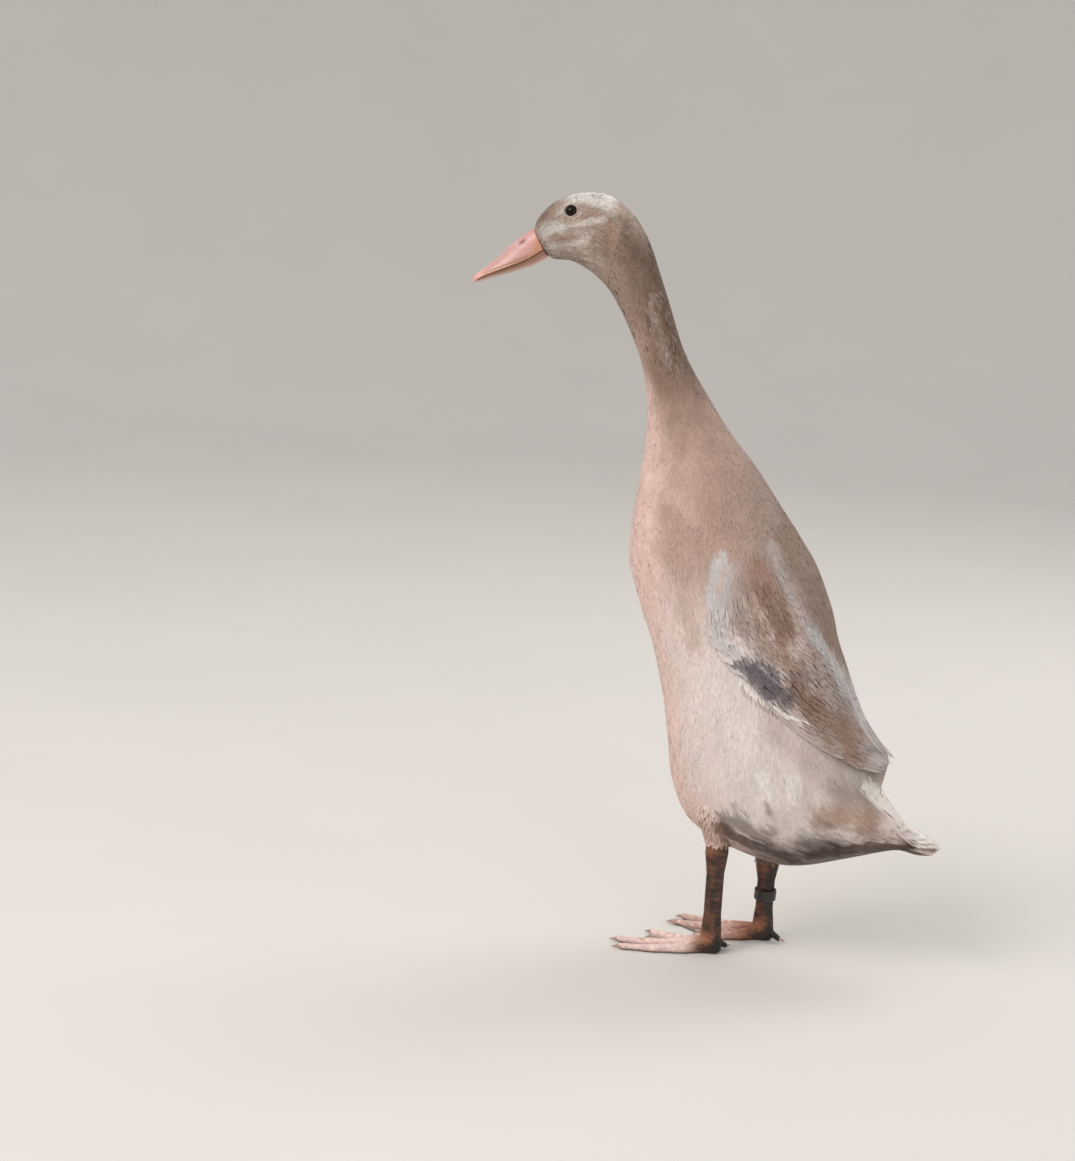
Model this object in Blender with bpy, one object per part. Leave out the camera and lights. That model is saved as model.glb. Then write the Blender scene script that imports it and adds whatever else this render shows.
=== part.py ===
"""Indian runner duck, a life-size standing model. Sizes are millimetres until a mesh is made.

The bird faces -Y and its left side is +X. The floor is z = 0, and the origin is under the middle of
the bird's box. Head, neck, torso and tail are lengths of one lofted body, parted by thin cuts.
"""

import math

import bmesh
import bpy
import numpy as np

MM = 0.001
GAP = 0.3
SLIVER = 0.005
CUTTING_WAYS = (("BEAUTY", "BEAUTY"), ("LONG_EDGE", "BEAUTY"), ("BEAUTY", "EAR_CLIP"))
BOX_MIDDLE_Y = -53.0

BODY_STATIONS = np.array((
    # back y, back z, front y, front z, half width, share by which the belly side is wider
    (-209.2, 572.0, -195.4, 549.5, 10.2, 0.00),
    (-201.0, 585.5, -190.5, 548.0, 13.6, 0.08),
    (-188.0, 594.5, -179.0, 547.5, 15.8, 0.16),
    (-172.0, 599.5, -168.5, 544.0, 17.0, 0.18),
    (-154.0, 600.0, -158.5, 538.0, 17.2, 0.15),
    (-138.0, 592.5, -149.0, 530.5, 16.8, 0.10),
    (-124.0, 579.0, -140.5, 520.5, 16.2, 0.05),
    (-112.5, 559.0, -132.5, 508.0, 15.8, 0.00),
    (-103.0, 535.0, -124.5, 493.0, 15.8, 0.00),
    (-94.5, 513.5, -117.0, 477.0, 16.0, 0.00),
    (-86.5, 492.0, -111.0, 459.5, 16.6, 0.00),
    (-76.5, 471.5, -107.8, 441.0, 18.2, 0.00),
    (-61.5, 449.0, -106.5, 421.0, 22.0, 0.00),
    (-41.0, 420.5, -107.5, 398.0, 29.0, 0.02),
    (-17.0, 392.5, -110.0, 371.0, 38.0, 0.03),
    (6.0, 361.5, -113.0, 343.0, 46.5, 0.04),
    (27.0, 334.0, -112.0, 316.0, 52.5, 0.04),
    (41.5, 307.5, -105.0, 290.0, 56.0, 0.04),
    (51.5, 282.0, -96.0, 264.5, 58.0, 0.03),
    (59.0, 255.0, -87.0, 239.5, 59.0, 0.02),
    (66.0, 229.0, -79.5, 212.0, 59.5, 0.00),
    (73.0, 205.0, -73.5, 183.0, 59.5, 0.00),
    (80.0, 185.0, -69.5, 156.0, 59.0, 0.00),
    (87.5, 168.0, -63.0, 130.0, 57.0, 0.00),
    (95.5, 154.0, -50.0, 107.0, 53.0, 0.00),
    (103.5, 143.0, -28.0, 92.5, 46.0, 0.00),
    (111.0, 133.5, 0.0, 82.0, 37.0, 0.00),
    (118.0, 126.0, 30.0, 76.0, 28.0, 0.00),
    (123.5, 119.0, 60.0, 82.5, 21.0, 0.00),
    (129.5, 113.0, 90.0, 93.0, 16.5, 0.00),
    (134.5, 107.5, 115.0, 100.8, 12.0, 0.00),
))
HEAD_END = 6.6
NECK_MIDDLE = 9.8
NECK_END = 13.4
TORSO_END = 27.0
TAIL_END = 30.0
BODY_ROUNDNESS = 2.2

# Each bump on the head: side x, y, z of its middle, how far it reaches, and how high it stands.
CHEEK = (14.0, -172.0, 560.0, 15.0, 1.6)
BROW = (12.0, -176.0, 595.0, 8.0, 1.0)
LORE = (14.0, -196.0, 574.0, 9.0, -1.6)
CROWN_DIP = (0.0, -202.0, 588.0, 8.0, -0.8)
JOWL = (8.0, -190.0, 552.0, 8.0, 1.2)
HEAD_BUMPS = (CHEEK, BROW, LORE, CROWN_DIP, JOWL)

EYE_PLACE = (9.8, -176.2, 584.2)
EYE_RADIUS = 6.0
EYE_FACING = (0.94, -0.11, 0.32)
LID_RING_DEPTH = 4.1
LID_RING_RADIUS = 5.1
LID_THICKNESS = 0.9

BILL_ROOT = (-202.3, 559.9)
BILL_SLOPE = math.radians(31.4)
BILL_STATIONS = np.array((
    # along the bill, ridge height, mouth line height, half width, roundness of the upper side
    (0.0, 12.6, -7.2, 9.4, 2.3),
    (8.0, 12.3, -7.6, 9.5, 2.2),
    (16.0, 11.5, -7.5, 9.6, 2.0),
    (24.0, 10.2, -6.6, 9.7, 1.8),
    (33.0, 8.2, -5.2, 9.9, 1.7),
    (42.0, 6.3, -3.8, 10.3, 1.7),
    (51.5, 4.8, -2.4, 10.6, 1.8),
    (58.0, 3.8, -1.7, 9.8, 2.0),
    (62.5, 2.5, -1.4, 7.0, 2.0),
    (65.0, 0.8, -1.2, 3.4, 2.0),
))
LOWER_BILL_LENGTH = 61.0
LOWER_BILL_DEPTH = (5.2, 4.8, 4.0, 3.4, 2.4, 1.2)
LOWER_BILL_INSET = 1.0
PALATE_RISE = 0.6
NOSTRIL_ALONG = 14.0
NOSTRIL_HEIGHT = 6.6
NOSTRIL_SIZE = (3.2, 1.5)

WING_EDGES = np.array((
    # along the wing, upper edge: body station, degrees from the back, lift;
    # lower edge: the same three
    (0.00, 15.1, 52.0, 0.0, 15.9, 84.0, 0.0),
    (0.15, 16.0, 46.0, 0.0, 17.0, 94.0, 0.0),
    (0.30, 17.0, 42.0, 0.0, 18.2, 96.0, 0.0),
    (0.45, 18.0, 37.0, 0.0, 19.3, 86.0, 0.0),
    (0.60, 19.0, 27.0, 0.0, 20.3, 73.0, 0.0),
    (0.72, 20.0, 15.0, 1.0, 21.2, 57.0, 0.5),
    (0.85, 21.2, 8.0, 5.0, 22.3, 38.0, 4.5),
    (1.00, 23.5, 5.0, 18.5, 24.1, 13.0, 19.0),
))
WING_GAP = 0.8
VANE_FLOOR = 1.3
WING_PLUMPNESS = 2.8
WING_EDGE_THICKNESS = 1.3
WING_CORE_END = 0.80
MIDLINE_GAP = 0.4

# Each row of wing feathers, from the shoulder to the wing's tip: how many feathers, where along
# the wing they root, where the upper and the lower ones end, where across the wing the first and
# the last one lie, and how high the upper and the lower ones stand over the core.
WING_ROWS = {
    "lesser_coverts": (4, 0.03, 0.19, 0.19, 0.12, 0.86, 1.3, 1.3),
    "median_coverts": (5, 0.19, 0.35, 0.35, 0.08, 0.91, 1.3, 1.3),
    "greater_coverts": (6, 0.35, 0.54, 0.53, 0.07, 0.93, 1.3, 1.3),
    "secondaries": (7, 0.54, 0.93, 0.76, 0.07, 0.94, 2.6, 1.4),
    "primaries": (4, 0.755, 1.00, 1.00, 0.28, 0.86, 0.9, 0.9),
}
ROOT_DEPTH = 1.3
VANE_THICKNESS = 0.6
VANE_SHARES = (0.0, 0.14, 0.70, 1.0)
VANE_WIDTHS = (0.50, 0.78, 0.84, 0.30)
VANE_STEP = 1.0
TIP_POINT = 0.08

TAIL_FEATHERS = 12
TAIL_COVERTS = 5
TAIL_ROOT = (112.0, 119.0)
TAIL_TIP = (153.5, 102.6)
TAIL_HALF_WIDTH = (10.0, 19.0, 26.0, 29.0)
TAIL_ARCH = 2.6
TAIL_CROWN = 6.0

LEGS = {
    # side: x sign, x and y of the shank, turn of the foot outwards, turn of the hind toe inwards,
    # height where the feathers end
    "left": (1, 24.0, -22.0, 5.5, 46.0, 86.0),
    "right": (-1, 24.0, 13.0, 3.5, 16.0, 70.0),
}
THIGH_TOP_Z = 150.0
ANKLE_Z = 17.0
TOES = {
    # name: turn from the middle toe outwards in degrees, length without the claw, outward bow
    "inner": (-27.0, 56.0, -1.5),
    "middle": (0.0, 75.0, 0.0),
    "outer": (12.5, 73.0, 4.0),
}
HIND_TOE_LENGTH = 16.0
TOE_RADIUS = 4.4
CLAW_LENGTH = 7.0
WEB_THICKNESS = 1.2

RING_HEIGHT_Z = 35.0
RING_SIZE = (7.9, 9.3, 8.5)


def natural_spline(knots, values, at):
    """Values of the natural cubic spline through (knots, values) at the places at."""
    knots, values, at = (np.asarray(a, float) for a in (knots, values, at))
    count = len(knots)
    step = np.diff(knots)
    slopes = np.diff(values, axis=0) / step[:, None]
    matrix = np.eye(count)
    right = np.zeros_like(values)
    for i in range(1, count - 1):
        matrix[i, i - 1:i + 2] = step[i - 1], 2 * (step[i - 1] + step[i]), step[i]
        right[i] = 6 * (slopes[i] - slopes[i - 1])
    bend = np.linalg.solve(matrix, right)
    k = np.clip(np.searchsorted(knots, at, side="right") - 1, 0, count - 2)
    h = step[k][:, None]
    a = (knots[k + 1] - at)[:, None] / h
    b = 1 - a
    return (
        a * values[k]
        + b * values[k + 1]
        + ((a**3 - a) * bend[k] + (b**3 - b) * bend[k + 1]) * h**2 / 6
    )


def signed_power(value, power):
    return np.sign(value) * np.abs(value) ** power


def body_point(station, angle, lift=0.0):
    """Points of the body's surface: angle 0 is the back, pi/2 the left side, pi the belly."""
    station, angle = np.broadcast_arrays(np.asarray(station, float), np.asarray(angle, float))
    flat = natural_spline(np.arange(len(BODY_STATIONS)), BODY_STATIONS, station.ravel())
    back, front = flat[:, 0:2], flat[:, 2:4]
    half_width, fullness = flat[:, 4], flat[:, 5]
    turn = angle.ravel()
    up = signed_power(np.cos(turn), 2 / BODY_ROUNDNESS)
    side = signed_power(np.sin(turn), 2 / BODY_ROUNDNESS)
    middle, reach = (back + front) / 2, (back - front) / 2
    plane = middle + reach * up[:, None]
    points = np.column_stack([half_width * side * (1 - fullness * up), plane])
    points = with_head_bumps(points, middle)
    points = points.reshape(station.shape + (3,))
    if np.any(np.asarray(lift) != 0):
        points = points + body_normal(station, angle) * np.asarray(lift)[..., None]
    return points


def with_head_bumps(points, middle):
    """Moves the points near each bump of the head away from the body's middle line."""
    out = points - np.column_stack([np.zeros(len(points)), middle])
    out /= np.maximum(np.linalg.norm(out, axis=1, keepdims=True), 1e-6)
    rise = np.zeros(len(points))
    for x, y, z, reach, height in HEAD_BUMPS:
        for side in (-1, 1):
            away = np.linalg.norm(points - np.array((side * x, y, z)), axis=1)
            share = 0.5 if x == 0 else 1.0
            rise += share * height * np.exp(-((away / reach) ** 2))
    return points + out * rise[:, None]


def body_normal(station, angle):
    """Outward normals of the body's surface."""
    step_u, step_a = 0.02, 0.01
    along = body_point(station + step_u, angle) - body_point(station - step_u, angle)
    around = body_point(station, angle + step_a) - body_point(station, angle - step_a)
    normal = np.cross(around, along)
    return normal / np.maximum(np.linalg.norm(normal, axis=-1, keepdims=True), 1e-9)


def new_object(name, points, faces):
    """A closed mesh object from points in millimetres, its faces turned outwards."""
    mesh = bpy.data.meshes.new(name)
    mesh.from_pydata((np.asarray(points) * MM).tolist(), [], [list(map(int, f)) for f in faces])
    shell = bmesh.new()
    shell.from_mesh(mesh)
    bmesh.ops.remove_doubles(shell, verts=shell.verts, dist=1e-7)
    bmesh.ops.recalc_face_normals(shell, faces=shell.faces)
    if shell.calc_volume(signed=True) < 0:
        bmesh.ops.reverse_faces(shell, faces=shell.faces)
    shell.to_mesh(mesh)
    shell.free()
    obj = bpy.data.objects.new(name, mesh)
    bpy.context.scene.collection.objects.link(obj)
    return obj


def ring_loft(name, rings):
    """A closed object from a stack of rings of equally many points, with a flat cap at each end."""
    rings = np.asarray(rings, float)
    count, sides = rings.shape[:2]
    faces = [
        (i * sides + j, i * sides + (j + 1) % sides, (i + 1) * sides + (j + 1) % sides,
         (i + 1) * sides + j)
        for i in range(count - 1)
        for j in range(sides)
    ]
    points = np.vstack([rings.reshape(-1, 3), rings[0].mean(0), rings[-1].mean(0)])
    first, last = count * sides, count * sides + 1
    faces += [(first, (j + 1) % sides, j) for j in range(sides)]
    top = (count - 1) * sides
    faces += [(last, top + j, top + (j + 1) % sides) for j in range(sides)]
    return new_object(name, points, faces)


def body_length(name, start, end, rings, sides, grow=0.0):
    """The length of the body between two stations as a closed object."""
    stations = np.linspace(start, end, rings)[:, None]
    angles = np.linspace(0, 2 * math.pi, sides, endpoint=False)[None, :]
    grid = np.broadcast_arrays(stations, angles)
    return ring_loft(name, body_point(grid[0], grid[1], np.full(grid[0].shape, grow)))


def cut_width(station):
    """How many stations wide a cut of one gap is, on the side where stations lie closest."""
    near = body_point(np.array([station - 0.05, station + 0.05])[:, None], np.array([[0, math.pi]]))
    travel = np.linalg.norm(near[1] - near[0], axis=-1).min() / 0.1
    return GAP / travel


def fuse(name, pieces, solver="EXACT"):
    """One object from closed pieces that overlap, keeping only its largest closed surface."""
    base, others = pieces[0], pieces[1:]
    if others:
        group = bpy.data.collections.new(name + "_pieces")
        bpy.context.scene.collection.children.link(group)
        for piece in others:
            bpy.context.scene.collection.objects.unlink(piece)
            group.objects.link(piece)
        apply_boolean(base, "UNION", group, solver)
        for piece in others:
            bpy.data.objects.remove(piece)
        bpy.data.collections.remove(group)
    keep_largest_surface(base)
    base.name = base.data.name = name
    return base


def cut_away(base, cutters):
    """Cuts the cutters' shapes out of the base and removes them."""
    group = bpy.data.collections.new(base.name + "_cutters")
    bpy.context.scene.collection.children.link(group)
    for cutter in cutters:
        bpy.context.scene.collection.objects.unlink(cutter)
        group.objects.link(cutter)
    apply_boolean(base, "DIFFERENCE", group, "EXACT")
    for cutter in cutters:
        bpy.data.objects.remove(cutter)
    bpy.data.collections.remove(group)
    keep_largest_surface(base)


def apply_boolean(base, operation, group, solver):
    modifier = base.modifiers.new(operation.lower(), "BOOLEAN")
    modifier.operation = operation
    modifier.operand_type = "COLLECTION"
    modifier.collection = group
    modifier.solver = solver
    graph = bpy.context.evaluated_depsgraph_get()
    joined = bpy.data.meshes.new_from_object(base.evaluated_get(graph))
    base.modifiers.clear()
    base.data = joined
    drop_slivers(base)


def drop_slivers(obj):
    """Closes up hair-thin faces, and cuts the rest in threes so that each edge keeps two faces.

    Two faces back to back on a thin blade may be cut along the same line. The next way of
    cutting is taken then.
    """
    for quad_way, other_way in CUTTING_WAYS:
        shell = bmesh.new()
        shell.from_mesh(obj.data)
        bmesh.ops.dissolve_degenerate(shell, dist=SLIVER * MM, edges=shell.edges)
        bmesh.ops.triangulate(shell, faces=shell.faces, quad_method=quad_way,
                              ngon_method=other_way)
        whole = all(len(edge.link_faces) == 2 for edge in shell.edges)
        if whole:
            shell.to_mesh(obj.data)
        shell.free()
        if whole:
            return
    raise RuntimeError(obj.name + " has an edge with more or fewer than two faces")


def keep_largest_surface(obj):
    """Drops sealed hollows and loose scraps, so that the node is one closed body."""
    shell = bmesh.new()
    shell.from_mesh(obj.data)
    unseen = set(shell.faces)
    surfaces = []
    while unseen:
        surface, edge = set(), [unseen.pop()]
        while edge:
            face = edge.pop()
            surface.add(face)
            for near in {f for e in face.edges for f in e.link_faces} & unseen:
                unseen.discard(near)
                edge.append(near)
        surfaces.append(surface)
    largest = max(surfaces, key=lambda s: sum(f.calc_area() for f in s))
    scraps = [f for s in surfaces if s is not largest for f in s]
    bmesh.ops.delete(shell, geom=scraps, context="FACES")
    shell.to_mesh(obj.data)
    shell.free()


def ball(name, middle, radii, segments=16, rings=10):
    """A closed ellipsoid."""
    mesh = bpy.data.meshes.new(name)
    shell = bmesh.new()
    bmesh.ops.create_uvsphere(shell, u_segments=segments, v_segments=rings, radius=1.0)
    for vert in shell.verts:
        vert.co = [(c * r + m) * MM for c, r, m in zip(vert.co, radii, middle)]
    shell.to_mesh(mesh)
    shell.free()
    obj = bpy.data.objects.new(name, mesh)
    bpy.context.scene.collection.objects.link(obj)
    return obj


def tube(name, path, half_x, half_y, sides=12, floor=None):
    """A closed tube of stacked level rings along a path that climbs."""
    rings = []
    for (x, y, z), rx, ry in zip(path, half_x, half_y):
        turns = [2 * math.pi * j / sides for j in range(sides)]
        rings.append([(x + rx * math.cos(a), y + ry * math.sin(a), z) for a in turns])
    rings = np.array(rings)
    if floor is not None:
        rings[..., 2] = np.maximum(rings[..., 2], floor)
    return ring_loft(name, rings)


def vane(surface, along, across, pitch, sunk, raised):
    """A feather's vane on a surface(along, across, height, thickness): a thin closed blade.

    Its root is sunk and the rest stands clear, and the edge on the far side of the pitch stands
    higher than the near one by a step for each pitch, so that it lies over the next vane.
    """
    shares = np.array(VANE_SHARES)[:, None]
    sides = np.array((-1.0, 0.0, 1.0))[None, :] * np.array(VANE_WIDTHS)[:, None]
    root, tip = along
    places = root + (tip - root) * (shares + TIP_POINT * shares**4 * (np.abs(sides) < 1e-6))
    clear = np.minimum(shares / VANE_SHARES[1], 1.0)
    heights = sunk + (raised - sunk) * clear + VANE_STEP * sides
    low = surface(places, across + sides * pitch, heights)
    high = surface(places, across + sides * pitch, heights, VANE_THICKNESS)
    points = np.concatenate([high, low], axis=1).reshape(-1, 3)
    faces = []
    for k in range(len(VANE_SHARES) - 1):
        a, b = 6 * k, 6 * (k + 1)
        for left, right in ((0, 1), (1, 2)):
            faces += [(a + left, a + right, b + right), (a + left, b + right, b + left)]
            faces += [(a + right + 3, a + left + 3, b + right + 3)]
            faces += [(a + left + 3, b + left + 3, b + right + 3)]
        faces += [(a + 3, a, b), (a + 3, b, b + 3), (a + 2, a + 5, b + 5), (a + 2, b + 5, b + 2)]
    end = 6 * (len(VANE_SHARES) - 1)
    faces += [(0, 3, 4), (0, 4, 1), (1, 4, 5), (1, 5, 2)]
    faces += [(end, end + 4, end + 3), (end, end + 1, end + 4)]
    faces += [(end + 1, end + 5, end + 4), (end + 1, end + 2, end + 5)]
    return points, faces


def material(name, colour, roughness, metallic=0.0):
    made = bpy.data.materials.new(name)
    made.use_nodes = True
    shader = made.node_tree.nodes["Principled BSDF"]
    shader.inputs["Base Color"].default_value = (*colour, 1.0)
    shader.inputs["Roughness"].default_value = roughness
    shader.inputs["Metallic"].default_value = metallic
    return made


def finish(obj, finish_material, parent):
    """Gives a node its material and smooth shading, and hangs it on the duck's empty."""
    obj.data.materials.clear()
    obj.data.materials.append(finish_material)
    obj.data.shade_smooth()
    obj.data.set_sharp_from_angle(angle=math.radians(40))
    obj.parent = parent
    return obj


def make_eye(side_name, side):
    x, y, z = EYE_PLACE
    return ball("eye_" + side_name, (side * x, y, z), (EYE_RADIUS,) * 3, 16, 10)


def lid_ring(side):
    """The raised rim of the lids round one eye, square to where the eye faces."""
    facing = np.array(EYE_FACING) / np.linalg.norm(EYE_FACING)
    ahead = np.cross(facing, (0.0, 0.0, 1.0))
    ahead /= np.linalg.norm(ahead)
    upward = np.cross(ahead, facing)
    middle = np.array(EYE_PLACE) + facing * LID_RING_DEPTH
    sides, around = 18, 6
    points, faces = [], []
    for i in range(sides):
        turn = 2 * math.pi * i / sides
        spoke = ahead * 1.08 * math.cos(turn) + upward * 0.94 * math.sin(turn)
        for j in range(around):
            twist = 2 * math.pi * j / around
            reach = LID_RING_RADIUS + LID_THICKNESS * math.cos(twist)
            spot = middle + spoke * reach + facing * LID_THICKNESS * math.sin(twist)
            points.append(spot * np.array((side, 1, 1)))
            k, m = (i + 1) % sides, (j + 1) % around
            faces.append((i * around + j, k * around + j, k * around + m, i * around + m))
    return new_object("lid", points, faces)


def make_head():
    head = body_length("head_core", 0.0, HEAD_END, 22, 28)
    head = fuse("head", [head, lid_ring(1), lid_ring(-1)])
    sockets = [
        ball("socket", (side * EYE_PLACE[0], *EYE_PLACE[1:]), (EYE_RADIUS + GAP * 1.4,) * 3, 16, 10)
        for side in (1, -1)
    ]
    cut_away(head, sockets)
    return head


def bill_place(along, height, x):
    """A point of the bill, from its own slope, in the bird's frame."""
    forward = np.array((-math.cos(BILL_SLOPE), -math.sin(BILL_SLOPE)))
    upward = np.array((-math.sin(BILL_SLOPE), math.cos(BILL_SLOPE)))
    y, z = np.array(BILL_ROOT) + forward * along + upward * height
    return x, y, z


def upper_bill_ring(station, sides):
    """One ring of the upper bill: a slightly hollow underside and a rounded upper side."""
    along, ridge, mouth, half_width, roundness = station
    bill_end = BILL_STATIONS[-1, 0]
    ring = []
    for j in range(sides):
        turn = math.pi * j / (sides - 1)
        x = half_width * signed_power(math.cos(turn), 2 / roundness)
        height = mouth + (ridge - mouth) * abs(math.sin(turn)) ** (2 / roundness)
        ring.append(bill_place(along, height, x))
    for j in range(1, sides - 1, 2):
        x = half_width * (2 * j / (sides - 1) - 1)
        vault = PALATE_RISE * (1 - (x / half_width) ** 2) * (1 - along / bill_end)
        ring.append(bill_place(along, mouth + vault, x))
    return ring


def make_upper_bill():
    knots = BILL_STATIONS[:, 0]
    places = np.concatenate([np.linspace(0, 56, 12), np.linspace(58.5, 65, 5)])
    stations = natural_spline(knots, BILL_STATIONS, places)
    bill = ring_loft("bill_upper", [upper_bill_ring(s, 15) for s in stations])
    pits = []
    for side in (1, -1):
        pit = ball("nostril", (0, 0, 0), (3.0, *NOSTRIL_SIZE), 12, 8)
        pit.rotation_euler = (BILL_SLOPE, 0, 0)
        pit.location = [v * MM for v in bill_place(NOSTRIL_ALONG, NOSTRIL_HEIGHT, side * 7.6)]
        pits.append(pit)
    bpy.context.view_layer.update()
    cut_away(bill, pits)
    return bill


def make_lower_bill():
    """The lower bill: a shallow trough shape under the upper one, inside its edges."""
    places = np.linspace(0, LOWER_BILL_LENGTH, 11)
    stations = natural_spline(BILL_STATIONS[:, 0], BILL_STATIONS, places)
    depths = np.interp(places, np.linspace(0, LOWER_BILL_LENGTH, len(LOWER_BILL_DEPTH)),
                       LOWER_BILL_DEPTH)
    rings = []
    for (along, _, mouth, half_width, _), depth in zip(stations, depths):
        inner = half_width - LOWER_BILL_INSET
        top, ring = mouth - GAP, []
        for j in range(12):
            turn = 2 * math.pi * j / 12
            rise = 0.0 if math.sin(turn) >= 0 else math.sin(turn) * depth
            ring.append(bill_place(along, top + rise, inner * signed_power(math.cos(turn), 0.8)))
        rings.append(ring)
    return ring_loft("bill_lower", rings)


def wing_place(along, across):
    """Body station, angle and lift of a spot on the left wing."""
    along = np.asarray(along, float)
    edges = natural_spline(WING_EDGES[:, 0], WING_EDGES[:, 1:], along.ravel())
    upper, lower = edges[:, 0:3], edges[:, 3:6]
    share = np.asarray(across, float).ravel()[:, None]
    station, degrees, lift = (upper + (lower - upper) * share).T
    return station, np.radians(degrees), np.maximum(lift, 0)


def core_thickness(along, across):
    """How thick the wing's core is: plump in the middle, thin at every edge and at the tip."""
    along, across = np.asarray(along, float), np.asarray(across, float)
    over = np.sqrt(np.clip(1 - (2 * across - 1) ** 2, 0, 1))
    down = np.interp(along, (0, 0.08, 0.3, WING_CORE_END, 1.0), (0.2, 0.8, 1.0, 0.25, 0.05))
    return WING_EDGE_THICKNESS + WING_PLUMPNESS * over * down


def wing_surface(along, across, height=0.0, thickness=0.0, floor=VANE_FLOOR):
    """Points of the left wing at a height above its core's outer side, over a floor on the body.

    The thickness comes on top of both, so that a blade keeps it where the floor lifts the blade.
    """
    along, across = np.broadcast_arrays(np.asarray(along, float), np.asarray(across, float))
    station, angle, lift = wing_place(along, across)
    normal = body_normal(station, angle)
    off = WING_GAP + lift + core_thickness(along.ravel(), across.ravel())
    off = np.maximum(off + np.broadcast_to(height, along.shape).ravel(), floor) + thickness
    return (body_point(station, angle) + normal * off[:, None]).reshape(along.shape + (3,))


def wing_core():
    """Rings of the wing's core: a thin closed lens that lies on the body with a gap."""
    rings = []
    shares = 0.5 - 0.5 * np.cos(np.linspace(0, math.pi, 7))
    for along in np.linspace(0.0, WING_CORE_END, 12):
        spot = np.full(len(shares), along)
        outer = wing_surface(spot, shares)
        inner = wing_surface(spot, shares, -core_thickness(spot, shares), floor=WING_GAP)
        rings.append(np.vstack([outer, inner[::-1]]))
    return rings


def wing_vanes():
    """Points and faces of each feather of the left wing, row by row."""
    for count, root, upper_tip, lower_tip, first, last, upper_rise, lower_rise in WING_ROWS.values():
        pitch = (last - first) / (count - 1)
        for k in range(count):
            share = k / (count - 1)
            tip = upper_tip + (lower_tip - upper_tip) * share**0.6
            rise = upper_rise + (lower_rise - upper_rise) * share
            yield vane(wing_surface, (root, tip), first + pitch * k, pitch, -ROOT_DEPTH, rise)


def make_left_wing():
    """The left wing in one piece, kept clear of the midline."""
    pieces = [ring_loft("wing_core", clear_of_midline(wing_core()))]
    for points, faces in wing_vanes():
        pieces.append(new_object("wing_vane", clear_of_midline(points), faces))
    return fuse("wing_left", pieces, "MANIFOLD")


def clear_of_midline(points):
    points = np.array(points, float)
    points[..., 0] = np.maximum(points[..., 0], MIDLINE_GAP)
    return points


def mirrored(obj, name):
    """The same body on the other side of the midline."""
    mesh = obj.data.copy()
    mesh.name = name
    shell = bmesh.new()
    shell.from_mesh(mesh)
    bmesh.ops.scale(shell, vec=(-1, 1, 1), verts=shell.verts)
    bmesh.ops.reverse_faces(shell, faces=shell.faces)
    shell.to_mesh(mesh)
    shell.free()
    copy = bpy.data.objects.new(name, mesh)
    bpy.context.scene.collection.objects.link(copy)
    return copy


def tail_surface(along, across, height=0.0, thickness=0.0):
    """Points over the tail's fan: along 0 at its root and 1 at its tip, across -1 to 1."""
    height = np.asarray(height) + thickness
    along, across = np.broadcast_arrays(np.asarray(along, float), np.asarray(across, float))
    knots = np.linspace(0, 1, len(TAIL_HALF_WIDTH))
    half_width = np.interp(along, knots, TAIL_HALF_WIDTH)
    y = TAIL_ROOT[0] + (TAIL_TIP[0] - TAIL_ROOT[0]) * (along - 0.08 * across**2 * along)
    z = TAIL_ROOT[1] + (TAIL_TIP[1] - TAIL_ROOT[1]) * along
    z = z + TAIL_ARCH * np.sin(math.pi * along) - TAIL_CROWN * across**2 * (0.4 + 0.6 * along)
    return np.stack([half_width * across, y, z + np.broadcast_to(height, along.shape)], axis=-1)


def make_tail():
    pieces = [body_length("tail_core", TORSO_END + cut_width(TORSO_END), TAIL_END, 7, 20)]
    pitch = 2 / TAIL_FEATHERS
    for k in range(TAIL_FEATHERS // 2):
        for side in (1, -1):
            across = (k + 0.5) * pitch * side * 0.93
            middle_lift = VANE_STEP if k == 0 and side == 1 else 0.0
            shape = vane(tail_surface, (0.0, 0.90), across, pitch * side, -1.5,
                         -0.6 + middle_lift)
            pieces.append(new_object("tail_vane", *shape))
    pitch = 1.4 / TAIL_COVERTS
    for k in range(TAIL_COVERTS):
        place = k - (TAIL_COVERTS - 1) / 2
        turn = 1 if place >= 0 else -1
        middle_lift = VANE_STEP if place == 0 else 0.0
        shape = vane(tail_surface, (0.0, 0.62 - 0.03 * abs(place)), place * pitch, pitch * turn,
                     0.6, 2.2 + middle_lift)
        pieces.append(new_object("tail_covert", *shape))
    return fuse("tail", pieces, "MANIFOLD")


def make_thigh(side_name, side, x, y, bottom_z):
    heights = np.linspace(THIGH_TOP_Z, bottom_z, 9)
    share = (THIGH_TOP_Z - heights) / (THIGH_TOP_Z - bottom_z)
    path = [(side * (x + 12 * (1 - s)), y + 4 * (1 - s), z) for s, z in zip(share, heights)]
    half_x = np.interp(share, (0, 0.3, 0.7, 1), (12, 18, 14.5, 8.2))
    half_y = np.interp(share, (0, 0.3, 0.7, 1), (14, 23, 17.5, 10.0))
    thigh = tube("thigh_" + side_name, path, half_x, half_y, 16)
    torso_room = body_length("torso_room", 18, TORSO_END, 30, 36, grow=GAP * 1.6)
    cut_away(thigh, [torso_room])
    thigh.name = thigh.data.name = "thigh_" + side_name
    return thigh


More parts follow.
